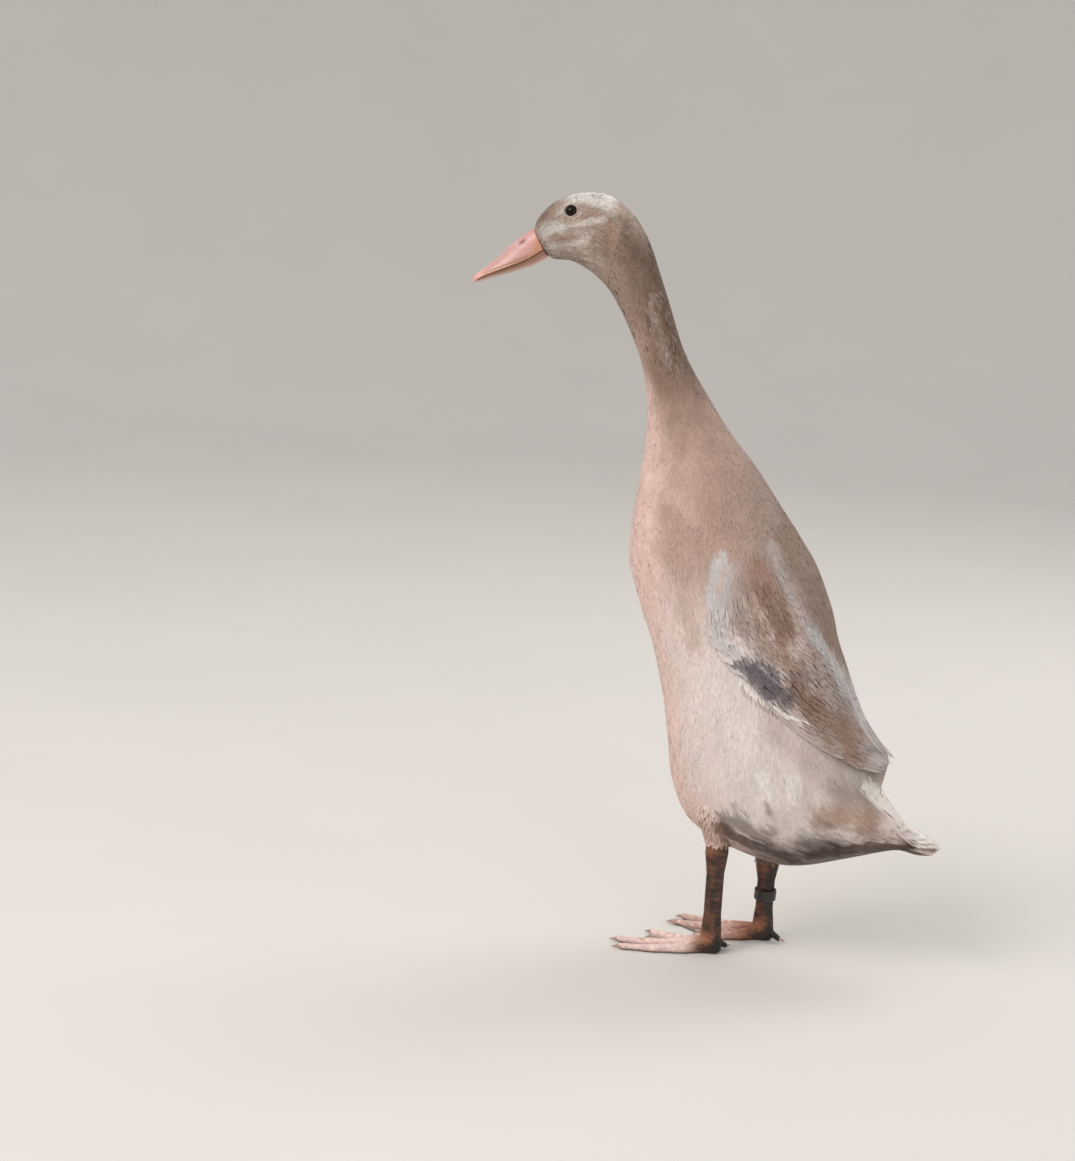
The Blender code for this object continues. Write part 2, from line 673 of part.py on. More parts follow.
def make_shank(side_name, side, x, y, bottom_z):
    top = bottom_z - GAP
    heights = np.linspace(top, ANKLE_Z + GAP, 10)
    share = (top - heights) / (top - ANKLE_Z)
    path = [(side * x, y, z) for z in heights]
    half_x = np.interp(share, (0, 0.12, 0.35, 0.8, 1), (7.0, 7.2, 5.0, 4.9, 6.2))
    half_y = np.interp(share, (0, 0.12, 0.35, 0.8, 1), (9.0, 9.4, 7.2, 7.2, 8.4))
    return tube("shank_" + side_name, path, half_x, half_y, 14)


def toe_line(side, x, y, turn, length, bow, count):
    """The middle line of one toe on the floor, from the foot's joint to the claw's root."""
    heading = math.radians(turn)
    steps = np.linspace(0, 1, count)
    reach, aside = steps * length, bow * np.sin(math.pi * steps)
    px = side * (x + reach * math.sin(heading) + aside * math.cos(heading))
    py = y - reach * math.cos(heading) + aside * math.sin(heading)
    return np.column_stack([px, py, np.zeros(count)]), steps


def toe_rings(line, steps, side, turn):
    """Rings of a toe that lies flat on the floor, with knuckles along it."""
    heading = math.radians(turn)
    across = np.array((side * math.cos(heading), math.sin(heading), 0.0))
    rings = []
    for spot, s in zip(line, steps):
        knuckle = 1 + 0.14 * math.cos(2 * math.pi * 3 * s)
        radius = TOE_RADIUS * (1 - 0.45 * s) * knuckle
        height = (9.0 * (1 - s) ** 3 + 5.6 * (1 - 0.42 * s)) * (1 + 0.1 * (knuckle - 1))
        ring = []
        for j in range(8):
            a = 2 * math.pi * j / 8
            up = max(0.0, height * (0.42 + 0.58 * math.sin(a)))
            ring.append(spot + across * radius * math.cos(a) + np.array((0, 0, up)))
        rings.append(ring)
    return rings


def web_points(side, first, second, arch):
    """A flat web between two toe lines, its front edge drawn in between the claws."""
    count = len(first)
    top, faces = [], []
    across_count = 5
    for i in range(count):
        for j in range(across_count):
            t = j / (across_count - 1)
            pull = 1 - arch * 4 * t * (1 - t) * (i / (count - 1)) ** 2
            spot = first[0] + (first[i] - first[0]) * (1 - t) * pull
            spot = spot + (second[i] - second[0]) * t * pull + (second[0] - first[0]) * t
            top.append(spot)
    top = np.array(top)
    fall = np.repeat(np.linspace(1, 0, count) ** 2, across_count)
    low = top + np.array((0, 0, 0.4))
    high = top + np.column_stack([0 * fall, 0 * fall, 0.4 + WEB_THICKNESS + 4.0 * fall])
    points = np.vstack([high, low])
    shift = count * across_count
    for i in range(count - 1):
        for j in range(across_count - 1):
            a = i * across_count + j
            b = a + across_count
            faces += [(a, a + 1, b + 1), (a, b + 1, b)]
            faces += [(shift + a, shift + b + 1, shift + a + 1), (shift + a, shift + b, shift + b + 1)]
    rim = [j for j in range(across_count)]
    rim += [i * across_count + across_count - 1 for i in range(1, count)]
    rim += [(count - 1) * across_count + j for j in range(across_count - 2, -1, -1)]
    rim += [i * across_count for i in range(count - 2, 0, -1)]
    for a, b in zip(rim, rim[1:] + rim[:1]):
        faces.append((b, a, shift + a, shift + b))
    return points, faces


def hind_toe(side, x, y, inward):
    """The short hind toe, from the back of the ankle down to the floor, and where its claw roots."""
    heading = np.array((-side * math.sin(math.radians(inward)), math.cos(math.radians(inward)), 0.0))
    across = np.array((heading[1], -heading[0], 0.0))
    rings = []
    for s in np.linspace(0, 1, 6):
        middle = np.array((side * x, y, 12.4 - 9.0 * s**0.8)) + heading * HIND_TOE_LENGTH * s
        radius = 3.6 * (1 - 0.36 * s)
        lean = (1 - s) * 0.55
        ring = []
        for j in range(8):
            a = 2 * math.pi * j / 8
            up = np.array((0, 0, radius * math.sin(a)))
            spot = middle + across * radius * math.cos(a) + (up + heading * lean * up[2])
            ring.append((spot[0], spot[1], max(spot[2], GAP)))
        rings.append(ring)
    return rings, heading


def make_foot(side_name, side, x, y, turn, inward):
    lines = {}
    pieces = []
    for toe, (spread, length, bow) in TOES.items():
        line, steps = toe_line(side, x, y, turn + spread, length, bow, 9)
        lines[toe] = line
        pieces.append(ring_loft("toe", toe_rings(line, steps, side, turn + spread)))
    for pair in (("inner", "middle"), ("middle", "outer")):
        pieces.append(new_object("web", *web_points(side, lines[pair[0]], lines[pair[1]], 0.16)))
    heights = (0.0, 2.5, 9.0, 13.0, ANKLE_Z)
    pad = tube("pad", [(side * x, y, z) for z in heights], (5.0, 6.6, 6.8, 6.5, 6.2),
               (7.0, 9.0, 9.2, 8.8, 8.4), 14)
    pieces.insert(0, pad)
    pieces.append(ring_loft("hind_toe", hind_toe(side, x, y, inward)[0]))
    return fuse("foot_" + side_name, pieces)


def claw(name, root, heading, radius, length):
    """A short curved claw that points along heading and ends just over the floor."""
    across = np.array((-heading[1], heading[0], 0.0))
    rings = []
    for s in np.linspace(0, 1, 5):
        size = radius * (1 - 0.85 * s)
        middle = root + heading * length * s + np.array((0, 0, -1.1 * s * s))
        ring = []
        for j in range(8):
            a = 2 * math.pi * j / 8
            up = np.array((0, 0, size * math.sin(a)))
            ring.append(middle + across * size * 0.8 * math.cos(a) + up)
        rings.append(ring)
    rings = np.array(rings)
    rings[..., 2] = np.maximum(rings[..., 2], GAP)
    return ring_loft(name, rings)


def make_claws(side_name, side, x, y, turn, inward):
    claws = []
    for toe, (spread, length, bow) in TOES.items():
        line, _ = toe_line(side, x, y, turn + spread, length, bow, 9)
        heading = (line[-1] - line[-2]) / np.linalg.norm(line[-1] - line[-2])
        root = line[-1] + np.array((0, 0, 2.1)) + heading * GAP * 1.5
        claws.append(claw(f"claw_{side_name}_{toe}", root, heading, 1.9, CLAW_LENGTH))
    rings, heading = hind_toe(side, x, y, inward)
    root = np.mean(rings[-1], axis=0) + heading * GAP * 1.5
    claws.append(claw(f"claw_{side_name}_hind", root, heading, 1.8, 4.5))
    return claws


def make_leg_ring():
    """The ring worn on the right shank."""
    side, x, y = LEGS["right"][:3]
    inner, outer, height = RING_SIZE
    profile = ((inner, 0.0), (outer, 0.0), (outer, height), (inner, height))
    points, faces = [], []
    sides = 24
    for i in range(sides):
        a = 2 * math.pi * i / sides
        for radius, rise in profile:
            points.append((side * x + radius * math.cos(a), y + radius * math.sin(a),
                           RING_HEIGHT_Z + rise))
        k = (i + 1) % sides
        faces += [(4 * i + j, 4 * k + j, 4 * k + (j + 1) % 4, 4 * i + (j + 1) % 4) for j in range(4)]
    return new_object("leg_ring", points, faces)


def clear_scene():
    for obj in list(bpy.data.objects):
        bpy.data.objects.remove(obj)


def main():
    clear_scene()
    duck = bpy.data.objects.new("duck", None)
    bpy.context.scene.collection.objects.link(duck)
    duck.location = (0.0, -BOX_MIDDLE_Y * MM, 0.0)

    plumage = material("plumage", (0.62, 0.47, 0.36), 0.85)
    wing_plumage = material("wing_plumage", (0.52, 0.38, 0.29), 0.8)
    bill_horn = material("bill_horn", (0.72, 0.42, 0.34), 0.45)
    eye_dark = material("eye_dark", (0.01, 0.008, 0.007), 0.08)
    leg_skin = material("leg_skin", (0.42, 0.19, 0.11), 0.6)
    claw_horn = material("claw_horn", (0.12, 0.09, 0.07), 0.5)
    ring_plastic = material("ring_plastic", (0.06, 0.055, 0.05), 0.5)

    finish(make_head(), plumage, duck)
    neck_cut = cut_width(HEAD_END)
    finish(body_length("neck_upper", HEAD_END + neck_cut, NECK_MIDDLE, 11, 24), plumage, duck)
    middle_cut = cut_width(NECK_MIDDLE)
    finish(body_length("neck_lower", NECK_MIDDLE + middle_cut, NECK_END, 11, 26), plumage, duck)
    finish(body_length("torso", NECK_END + cut_width(NECK_END), TORSO_END, 34, 28), plumage, duck)
    finish(make_tail(), wing_plumage, duck)
    left_wing = make_left_wing()
    finish(mirrored(left_wing, "wing_right"), wing_plumage, duck)
    finish(left_wing, wing_plumage, duck)
    finish(make_upper_bill(), bill_horn, duck)
    finish(make_lower_bill(), bill_horn, duck)
    for side_name, (side, x, y, turn, inward, bottom_z) in LEGS.items():
        finish(make_eye(side_name, side), eye_dark, duck)
        finish(make_thigh(side_name, side, x, y, bottom_z), plumage, duck)
        finish(make_shank(side_name, side, x, y, bottom_z), leg_skin, duck)
        finish(make_foot(side_name, side, x, y, turn, inward), leg_skin, duck)
        for made in make_claws(side_name, side, x, y, turn, inward):
            finish(made, claw_horn, duck)
    finish(make_leg_ring(), ring_plastic, duck)


main()
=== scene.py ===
"""Dresses the packed runner duck: skin, feathers, wings, tail, bill, eyes, legs and studio."""

import math
from types import SimpleNamespace

import bmesh
import bpy
import numpy as np
from mathutils import Matrix, Vector, kdtree


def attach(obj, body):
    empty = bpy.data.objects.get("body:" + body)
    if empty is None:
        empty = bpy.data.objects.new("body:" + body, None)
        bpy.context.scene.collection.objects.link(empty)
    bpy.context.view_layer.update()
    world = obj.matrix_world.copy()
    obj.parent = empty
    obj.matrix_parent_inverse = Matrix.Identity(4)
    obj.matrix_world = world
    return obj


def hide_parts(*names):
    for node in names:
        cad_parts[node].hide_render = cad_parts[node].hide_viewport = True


bl_info = {
    "name": "Runner Duck Dressing",
    "version": (1, 0, 0),
    "blender": (4, 5, 0),
    "location": "3D View > Sidebar > Duck",
    "description": "Puts skin, feathers, bill, eyes and legs on the packed runner duck",
    "category": "Object",
}

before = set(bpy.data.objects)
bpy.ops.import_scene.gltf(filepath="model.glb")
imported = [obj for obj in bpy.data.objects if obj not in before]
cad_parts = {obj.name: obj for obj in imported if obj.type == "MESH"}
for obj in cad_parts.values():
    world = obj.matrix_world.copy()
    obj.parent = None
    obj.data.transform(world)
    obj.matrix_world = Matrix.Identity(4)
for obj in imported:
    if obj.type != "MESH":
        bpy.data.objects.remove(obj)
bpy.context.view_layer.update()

# Shape of the bird, in millimetres. The bird faces -Y, its left side is +X, the floor is z 0.

MM = 0.001
BOX_MIDDLE_Y = -53.0
BODY_ROUNDNESS = 2.2

# Each row is one cross-section from the bill's root to the end of the tail's flesh:
# back y and z, front y and z, half width, and how much fuller the front half is.
BODY_STATIONS = np.array((
    (-209.2, 572, -195.4, 549.5, 10.2, 0.0), (-201, 585.5, -190.5, 548, 13.6, 0.08),
    (-188, 594.5, -179, 547.5, 15.8, 0.16), (-172, 599.5, -168.5, 544, 17, 0.18),
    (-154, 600, -158.5, 538, 17.2, 0.15), (-138, 592.5, -149, 530.5, 16.8, 0.10),
    (-124, 579, -140.5, 520.5, 16.2, 0.05), (-112.5, 559, -132.5, 508, 15.8, 0.0),
    (-103, 535, -124.5, 493, 15.8, 0.0), (-94.5, 513.5, -117, 477, 16, 0.0),
    (-86.5, 492, -111, 459.5, 16.6, 0.0), (-76.5, 471.5, -107.8, 441, 18.2, 0.0),
    (-61.5, 449, -106.5, 421, 22, 0.0), (-41, 420.5, -107.5, 398, 29, 0.02),
    (-17, 392.5, -110, 371, 38, 0.03), (6, 361.5, -113, 343, 46.5, 0.04),
    (27, 334, -112, 316, 52.5, 0.04), (41.5, 307.5, -105, 290, 56, 0.04),
    (51.5, 282, -96, 264.5, 58, 0.03), (59, 255, -87, 239.5, 59, 0.02),
    (66, 229, -79.5, 212, 59.5, 0.0), (73, 205, -73.5, 183, 59.5, 0.0),
    (80, 185, -69.5, 156, 59, 0.0), (87.5, 168, -63, 130, 57, 0.0),
    (95.5, 154, -50, 107, 53, 0.0), (103.5, 143, -28, 92.5, 46, 0.0),
    (111, 133.5, 0, 82, 37, 0.0), (118, 126, 30, 76, 28, 0.0),
    (123.5, 119, 60, 82.5, 21, 0.0), (129.5, 113, 90, 93, 16.5, 0.0),
    (134.5, 107.5, 115, 100.8, 12, 0.0), (143.5, 105, 132, 98.5, 9.5, 0.0),
    (150.5, 102.5, 147, 99.5, 5.5, 0.0),
))
LAST_STATION = len(BODY_STATIONS) - 1.0

# Bumps of the head: x, y, z, reach and height.
HEAD_BUMPS = (
    (14.0, -172.0, 560.0, 15.0, 1.6), (12.0, -176.0, 595.0, 8.0, 1.0),
    (14.0, -196.0, 574.0, 9.0, -1.6), (0.0, -202.0, 588.0, 8.0, -0.8),
    (8.0, -190.0, 552.0, 8.0, 1.2),
)

EYE_PLACE = np.array((9.8, -176.2, 584.2))
EYE_RADIUS = 6.0
EYE_FACING = np.array((0.94, -0.11, 0.32)) / math.hypot(0.94, 0.11, 0.32)
# Angles off the middle of the pupil over which the iris sets in and ends.
IRIS_INNER_EDGE = (0.46, 0.50)
IRIS_OUTER_EDGE = (1.0, 0.75)
LID_DEPTH = 3.6
LID_RADIUS = 5.35
LID_THICKNESS = 0.75

BILL_ROOT = np.array((-202.3, 559.9))
BILL_SLOPE = math.radians(31.4)
# Along the bill, height of its ridge, height of the mouth line, half width, roundness.
BILL_STATIONS = np.array((
    (0, 12.6, -7.2, 9.4, 2.3), (8, 12.3, -7.6, 9.5, 2.2), (16, 11.5, -7.5, 9.6, 2.0),
    (24, 10.2, -6.6, 9.7, 1.8), (33, 8.2, -5.2, 9.9, 1.7), (42, 6.3, -3.8, 10.3, 1.7),
    (51.5, 4.8, -2.4, 10.6, 1.8), (58, 3.8, -1.7, 9.8, 2.0), (62.5, 2.5, -1.4, 7.0, 2.0),
    (65, 0.8, -1.2, 3.4, 2.0),
), float)
LOWER_BILL_LENGTH = 61.0
LOWER_BILL_DEPTH = (5.2, 4.8, 4.0, 3.4, 2.4, 1.2)
LOWER_BILL_INSET = 1.0
MOUTH_GAP = 0.3
NOSTRIL_ALONG = 14.0
NOSTRIL_HEIGHT = 7.4
NOSTRIL_SIZE = (4.2, 1.3)
NOSTRIL_DEPTH = 1.7
NOSTRIL_RIM = 0.25
LIP_HEIGHT = 1.9
LIP_REACH = 0.45
LIP_DEPTH = 0.32
COMB_PITCH = 1.3
COMB_DEPTH = 0.09
NAIL_ALONG = 61.5
NAIL_SIZE = (4.6, 4.2)
NAIL_RISE = 0.35

# The left wing's edges: share along, then station, degrees and lift of its upper and lower edge.
WING_EDGES = np.array((
    (0.00, 15.1, 52, 0.0, 15.9, 84, 0.0), (0.15, 16.0, 46, 0.0, 17.0, 94, 0.0),
    (0.30, 17.0, 42, 0.0, 18.2, 96, 0.0), (0.45, 18.0, 37, 0.0, 19.3, 86, 0.0),
    (0.60, 19.0, 27, 0.0, 20.3, 73, 0.0), (0.72, 20.0, 15, 1.0, 21.2, 57, 0.5),
    (0.85, 21.2, 8, 5.0, 22.3, 38, 4.5), (1.00, 23.5, 5, 18.5, 24.1, 13, 19.0),
))
WING_GAP = 0.8
WING_PLUMPNESS = 2.8
WING_EDGE_THICKNESS = 1.3
WING_CORE_END = 0.80
MIDLINE_GAP = 0.4

TAIL_ROOT = (112.0, 119.0)
TAIL_TIP = (153.5, 102.6)
TAIL_HALF_WIDTH = (10.0, 19.0, 26.0, 29.0)
TAIL_ARCH = 2.6
TAIL_CROWN = 3.6

# Side, x and y of the shank, turn of the foot, turn of the hind toe, height where feathers end.
LEGS = {
    "left": (1, 24.0, -22.0, 5.5, 46.0, 94.0),
    "right": (-1, 24.0, 13.0, 3.5, 16.0, 70.0),
}
THIGH_TOP_Z = 150.0
ANKLE_Z = 17.0
# Shares of the way down the shank, and its half width and half depth there.
SHANK_SHARES = (0, 0.12, 0.35, 0.8, 1)
SHANK_HALF_X = (7.0, 7.2, 5.0, 4.9, 6.2)
SHANK_HALF_Y = (9.0, 9.4, 7.2, 7.2, 8.4)
# Heights of the pad under the ankle, and its half width and half depth there.
PAD_HEIGHTS = (0.5, 2.5, 9.0, 13.0, ANKLE_Z + 1)
PAD_HALF_X = (5.0, 6.6, 6.8, 6.5, 6.2)
PAD_HALF_Y = (7.0, 9.0, 9.2, 8.8, 8.4)
TOES = {"inner": (-27.0, 56.0, -1.5), "middle": (0.0, 75.0, 0.0), "outer": (12.5, 73.0, 4.0)}
HIND_TOE_LENGTH = 16.0
HIND_TOE_RADIUS = 3.6
HIND_TOE_ROOT_Z = 12.4
HIND_TOE_FALL = 9.0
TOE_RADIUS = 4.9
TOE_HEIGHT = 7.0
CLAW_LENGTH = 8.0
CLAW_RADIUS = 2.1
CLAW_ROOT_Z = 2.4
HIND_CLAW_LENGTH = 5.5
HIND_CLAW_RADIUS = 1.8
CLAW_OVERLAP = 0.6
WEB_THICKNESS = 1.2
PLATE_SPACING = 1.9
PLATE_OVERLAP = 1.18
PLATE_VARIATION = (0.92, 1.06)
PLATE_SINK = 0.25
LOWEST_Z = 0.3
RING_HEIGHT_Z = 35.0
# Inner and outer radius and height of the ring, and how deep its ribs are.
RING_SIZE = (7.9, 9.3, 8.5)
RING_ROUNDNESS = 0.45
RIB_DEPTH = 0.3

CAMERA_PLACE = (1.52225, 0.27046, 0.567)
CAMERA_AXIS = (-0.95096, -0.25481, -0.17537)
CAMERA_ROLL = math.radians(3.2)
CAMERA_LENS = 60.47

SKIN_VOXEL = 1.5
LEG_VOXEL = 0.55

UV_BAKE = "OFBake"
UV_VANE = "vane"
MARKINGS = "markings"
PATCH = 0.003
BARB_SLANT = 0.45
BARB_BUMP = 0.0002


def linear(red, green, blue):
    """A colour in Blender's own linear values from the usual 0 to 255 ones."""
    shares = [c / 255 for c in (red, green, blue)]
    return tuple(c / 12.92 if c <= 0.04045 else ((c + 0.055) / 1.055) ** 2.4 for c in shares)


# Plain maths that the pieces share


def natural_spline(knots, values, at):
    """Values of the natural cubic spline through (knots, values) at the places at."""
    knots, values, at = (np.asarray(a, float) for a in (knots, values, at))
    count = len(knots)
    step = np.diff(knots)
    slopes = np.diff(values, axis=0) / step[:, None]
    matrix = np.eye(count)
    right = np.zeros_like(values)
    for i in range(1, count - 1):
        matrix[i, i - 1:i + 2] = step[i - 1], 2 * (step[i - 1] + step[i]), step[i]
        right[i] = 6 * (slopes[i] - slopes[i - 1])
    bend = np.linalg.solve(matrix, right)
    k = np.clip(np.searchsorted(knots, at, side="right") - 1, 0, count - 2)
    h = step[k][:, None]
    a = (knots[k + 1] - at)[:, None] / h
    b = 1 - a
    return (
        a * values[k]
        + b * values[k + 1]
        + ((a**3 - a) * bend[k] + (b**3 - b) * bend[k + 1]) * h**2 / 6
    )


def signed_power(value, power):
    return np.sign(value) * np.abs(value) ** power


def ramp(value, start, end):
    """A smooth step from 0 at start to 1 at end, either way round."""
    share = np.clip((value - start) / (end - start), 0.0, 1.0)
    return share * share * (3 - 2 * share)


def unit(vectors):
    return vectors / np.maximum(np.linalg.norm(vectors, axis=-1, keepdims=True), 1e-9)


def full_turn(count):
    """Even angles once round, without a last one on top of the first."""
    return np.linspace(0, 2 * math.pi, count, endpoint=False)


def off_the_back(angle):
    """How far an angle round the body lies off the middle of the back, from 0 to pi."""
    return np.abs((angle + math.pi) % (2 * math.pi) - math.pi)


def mixed(colours, colour, share):
    """Colours of which a share has given way to another colour."""
    return colours * (1 - share) + np.array(colour) * share


def ripple(points, wavelength, seed):
    """A smooth random field of about -1 to 1 over space, from crossing waves."""
    random = np.random.default_rng(seed)
    total = np.zeros(points.shape[:-1])
    waves = 7
    for _ in range(waves):
        heading = unit(random.normal(size=3))
        length = wavelength * random.uniform(0.6, 1.6)
        total += np.sin(points @ heading * 2 * math.pi / length + random.uniform(0, 2 * math.pi))
    return total / math.sqrt(waves)


# The body's surface


def body_point(station, angle):
    """Points of the body's outline: angle 0 is the back, pi/2 the left side, pi the belly."""
    station, angle = np.broadcast_arrays(np.asarray(station, float), np.asarray(angle, float))
    flat = natural_spline(np.arange(len(BODY_STATIONS)), BODY_STATIONS, station.ravel())
    back, front = flat[:, 0:2], flat[:, 2:4]
    half_width, fullness = flat[:, 4], flat[:, 5]
    turn = angle.ravel()
    up = signed_power(np.cos(turn), 2 / BODY_ROUNDNESS)
    side = signed_power(np.sin(turn), 2 / BODY_ROUNDNESS)
    middle, reach = (back + front) / 2, (back - front) / 2
    plane = middle + reach * up[:, None]
    points = np.column_stack([half_width * side * (1 - fullness * up), plane])
    out = unit(points - np.column_stack([np.zeros(len(points)), middle]))
    rise = np.zeros(len(points))
    for x, y, z, bump_reach, height in HEAD_BUMPS:
        for mirror in (-1, 1):
            away = np.linalg.norm(points - np.array((mirror * x, y, z)), axis=1)
            share = 0.5 if x == 0 else 1.0
            rise += share * height * np.exp(-((away / bump_reach) ** 2))
    return (points + out * rise[:, None]).reshape(station.shape + (3,))


TABLE_STATIONS = 1501
TABLE_ANGLES = 720


def body_table():
    """Points and normals of the body on an even grid of stations and angles, worked out once."""
    stations = np.linspace(0, LAST_STATION, TABLE_STATIONS)[:, None]
    angles = np.linspace(0, 2 * math.pi, TABLE_ANGLES, endpoint=False)[None, :]
    points = body_point(stations, angles)
    along = np.gradient(points, axis=0)
    around = np.roll(points, -1, axis=1) - np.roll(points, 1, axis=1)
    return points, unit(np.cross(around, along))


BODY_POINTS, BODY_NORMALS = body_table()


def on_body(station, angle, height=0.0):
    """Points at a height over the body and the body's normals there, from the table."""
    station, angle, height = np.broadcast_arrays(station, angle, height)
    u = np.clip(station / LAST_STATION, 0, 1) * (TABLE_STATIONS - 1)
    v = (angle / (2 * math.pi) % 1.0) * TABLE_ANGLES
    i = np.minimum(u.astype(int), TABLE_STATIONS - 2)
    j = v.astype(int) % TABLE_ANGLES
    k = (j + 1) % TABLE_ANGLES
    s, t = (u - i)[..., None], (v - np.floor(v))[..., None]

    normals = unit(blended(BODY_NORMALS, i, j, k, s, t))
    return blended(BODY_POINTS, i, j, k, s, t) + normals * height[..., None], normals


def blended(table, i, j, k, s, t):
    """A table's value between rows i and i + 1 and columns j and k, at shares s and t."""
    low = table[i, j] * (1 - t) + table[i, k] * t
    high = table[i + 1, j] * (1 - t) + table[i + 1, k] * t
    return low * (1 - s) + high * s


def surface_scale(surface, u, v, step_u, step_v):
    """How many millimetres one unit of u and one unit of v are at a spot of a surface."""
    ahead, behind = surface(u + step_u, v)[0], surface(u - step_u, v)[0]
    left, right = surface(u, v + step_v)[0], surface(u, v - step_v)[0]
    along = np.linalg.norm(ahead - behind, axis=-1) / (2 * step_u)
    return along, np.linalg.norm(left - right, axis=-1) / (2 * step_v)


def body_scale(station, angle):
    """How many millimetres one station and one radian are at a spot of the body."""
    return np.maximum(surface_scale(on_body, station, angle, 0.05, 0.03), 1.0)


# The wing's and the tail's surfaces


def wing_place(along, across):
    """Body station, angle in radians and lift of a spot on the left wing."""
    edges = natural_spline(WING_EDGES[:, 0], WING_EDGES[:, 1:], along.ravel())
    upper, lower = edges[:, 0:3], edges[:, 3:6]
    share = across.ravel()[:, None]
    station, degrees, lift = (upper + (lower - upper) * share).T.reshape((3,) + along.shape)
    return station, np.radians(degrees), np.maximum(lift, 0)


def core_thickness(along, across):
    """How thick the wing's flesh is: plump in the middle, thin at every edge and at the tip."""
    over = np.sqrt(np.clip(1 - (2 * across - 1) ** 2, 0, 1))
    down = np.interp(along, (0, 0.08, 0.3, WING_CORE_END, 1.0), (0.2, 0.8, 1.0, 0.25, 0.05))
    return WING_EDGE_THICKNESS + WING_PLUMPNESS * over * down


def on_wing(along, across, height=0.0):
    """Points at a height over the left wing's flesh, and the body's normals under them."""
    along, across, height = np.broadcast_arrays(along, across, height)
    station, angle, lift = wing_place(along, across)
    off = np.maximum(WING_GAP + lift + core_thickness(along, across) + height, 0.4)
    points, normals = on_body(station, angle, off)
    points[..., 0] = np.maximum(points[..., 0], MIDLINE_GAP)
    return points, normals


def on_tail(along, across, height=0.0):
    """Points at a height over the tail's fan: along 0 root to 1 tip, across -1 to 1."""
    along, across, height = np.broadcast_arrays(along, across, height)
    half_width = np.interp(along, np.linspace(0, 1, len(TAIL_HALF_WIDTH)), TAIL_HALF_WIDTH)
    y = TAIL_ROOT[0] + (TAIL_TIP[0] - TAIL_ROOT[0]) * (along - 0.08 * across**2 * along)
    z = TAIL_ROOT[1] + (TAIL_TIP[1] - TAIL_ROOT[1]) * along
    z = z + TAIL_ARCH * np.sin(math.pi * along) - TAIL_CROWN * across**2 * (0.4 + 0.6 * along)
    points = np.stack([half_width * across, y, z + height], axis=-1)
    tilt = 2 * TAIL_CROWN * across * (0.4 + 0.6 * along) / half_width
    slope = (TAIL_ROOT[1] - TAIL_TIP[1]) / (TAIL_TIP[0] - TAIL_ROOT[0])
    return points, unit(np.stack([tilt, np.full_like(y, slope), np.ones_like(y)], axis=-1))


def thigh_sizes(share):
    """Half sizes of a thigh along x and y, at a share of its way down."""
    half_x = np.interp(share, (0, 0.3, 0.7, 1), (12, 18, 14.5, 8.2))
    half_y = np.interp(share, (0, 0.3, 0.7, 1), (14, 23, 17.5, 10.0))
    return half_x, half_y


def on_thigh(leg, share, turn, height=0.0):
    """Points at a height over a thigh, from its top to its end over the shank."""
    share, turn, height = np.broadcast_arrays(share, turn, height)
    side, x, y, _, _, bottom_z = LEGS[leg]
    half_x, half_y = thigh_sizes(np.clip(share, 0, 1))
    out = np.stack([np.cos(turn), np.sin(turn), np.zeros_like(turn)], axis=-1)
    points = np.stack([
        side * (x + 12 * (1 - share)) + half_x * np.cos(turn),
        y + 4 * (1 - share) + half_y * np.sin(turn),
        THIGH_TOP_Z + (bottom_z - THIGH_TOP_Z) * share,
    ], axis=-1)
    return points + out * height[..., None], out


# Markings: one set of named colours and soft patches for skin and coat alike


def colour_setting(red, green, blue, text):
    """A colour that the user can change, with its default from 0 to 255."""
    return bpy.props.FloatVectorProperty(
        name=text, description="Colour of the " + text.lower(), subtype="COLOR",
        size=3, min=0.0, max=1.0, default=linear(red, green, blue))


class DuckPlumageColours(bpy.types.PropertyGroup):
    """Colours of the feathers"""

    cream: colour_setting(222, 210, 206, "Belly cream")
    breast: colour_setting(222, 191, 180, "Breast pink")
    fawn: colour_setting(186, 159, 147, "Fawn sides")
    back: colour_setting(158, 144, 137, "Greyish back")
    brown: colour_setting(146, 114, 98, "Warm brown")
    slate: colour_setting(104, 95, 101, "Slate wing patch")
    frost: colour_setting(196, 192, 193, "Frosty wrist")
    white: colour_setting(236, 228, 221, "White edges")
    neck: colour_setting(137, 112, 97, "Neck tan")
    nape: colour_setting(92, 71, 58, "Dark nape")
    crown: colour_setting(209, 202, 196, "Pale crown")
    cheek: colour_setting(164, 145, 132, "Cheek")
    tan: colour_setting(174, 141, 119, "Rump tan")
    # Mud and painted shade along the underside share this dark colour.
    mud_and_shade: colour_setting(70, 50, 40, "Belly mud and shade")


class DuckHornColours(bpy.types.PropertyGroup):
    """Colours of the bill, eyes, legs, claws and ring"""

    bill_pink: colour_setting(198, 148, 143, "Bill pink")
    bill_tan: colour_setting(170, 123, 93, "Bill edge tan")
    # Painted shade in the nostrils and in the groove along the lip.
    bill_painted_shade: colour_setting(120, 72, 56, "Bill groove shade")
    lid: colour_setting(176, 158, 146, "Eyelid")
    iris: colour_setting(26, 14, 9, "Iris")
    pupil: colour_setting(6, 5, 5, "Pupil")
    leg: colour_setting(150, 96, 68, "Leg orange")
    mud: colour_setting(40, 25, 19, "Mud on the legs")
    toe: colour_setting(226, 196, 188, "Toe pink")
    claw: colour_setting(178, 148, 134, "Claws")
    ring: colour_setting(46, 42, 42, "Leg ring")


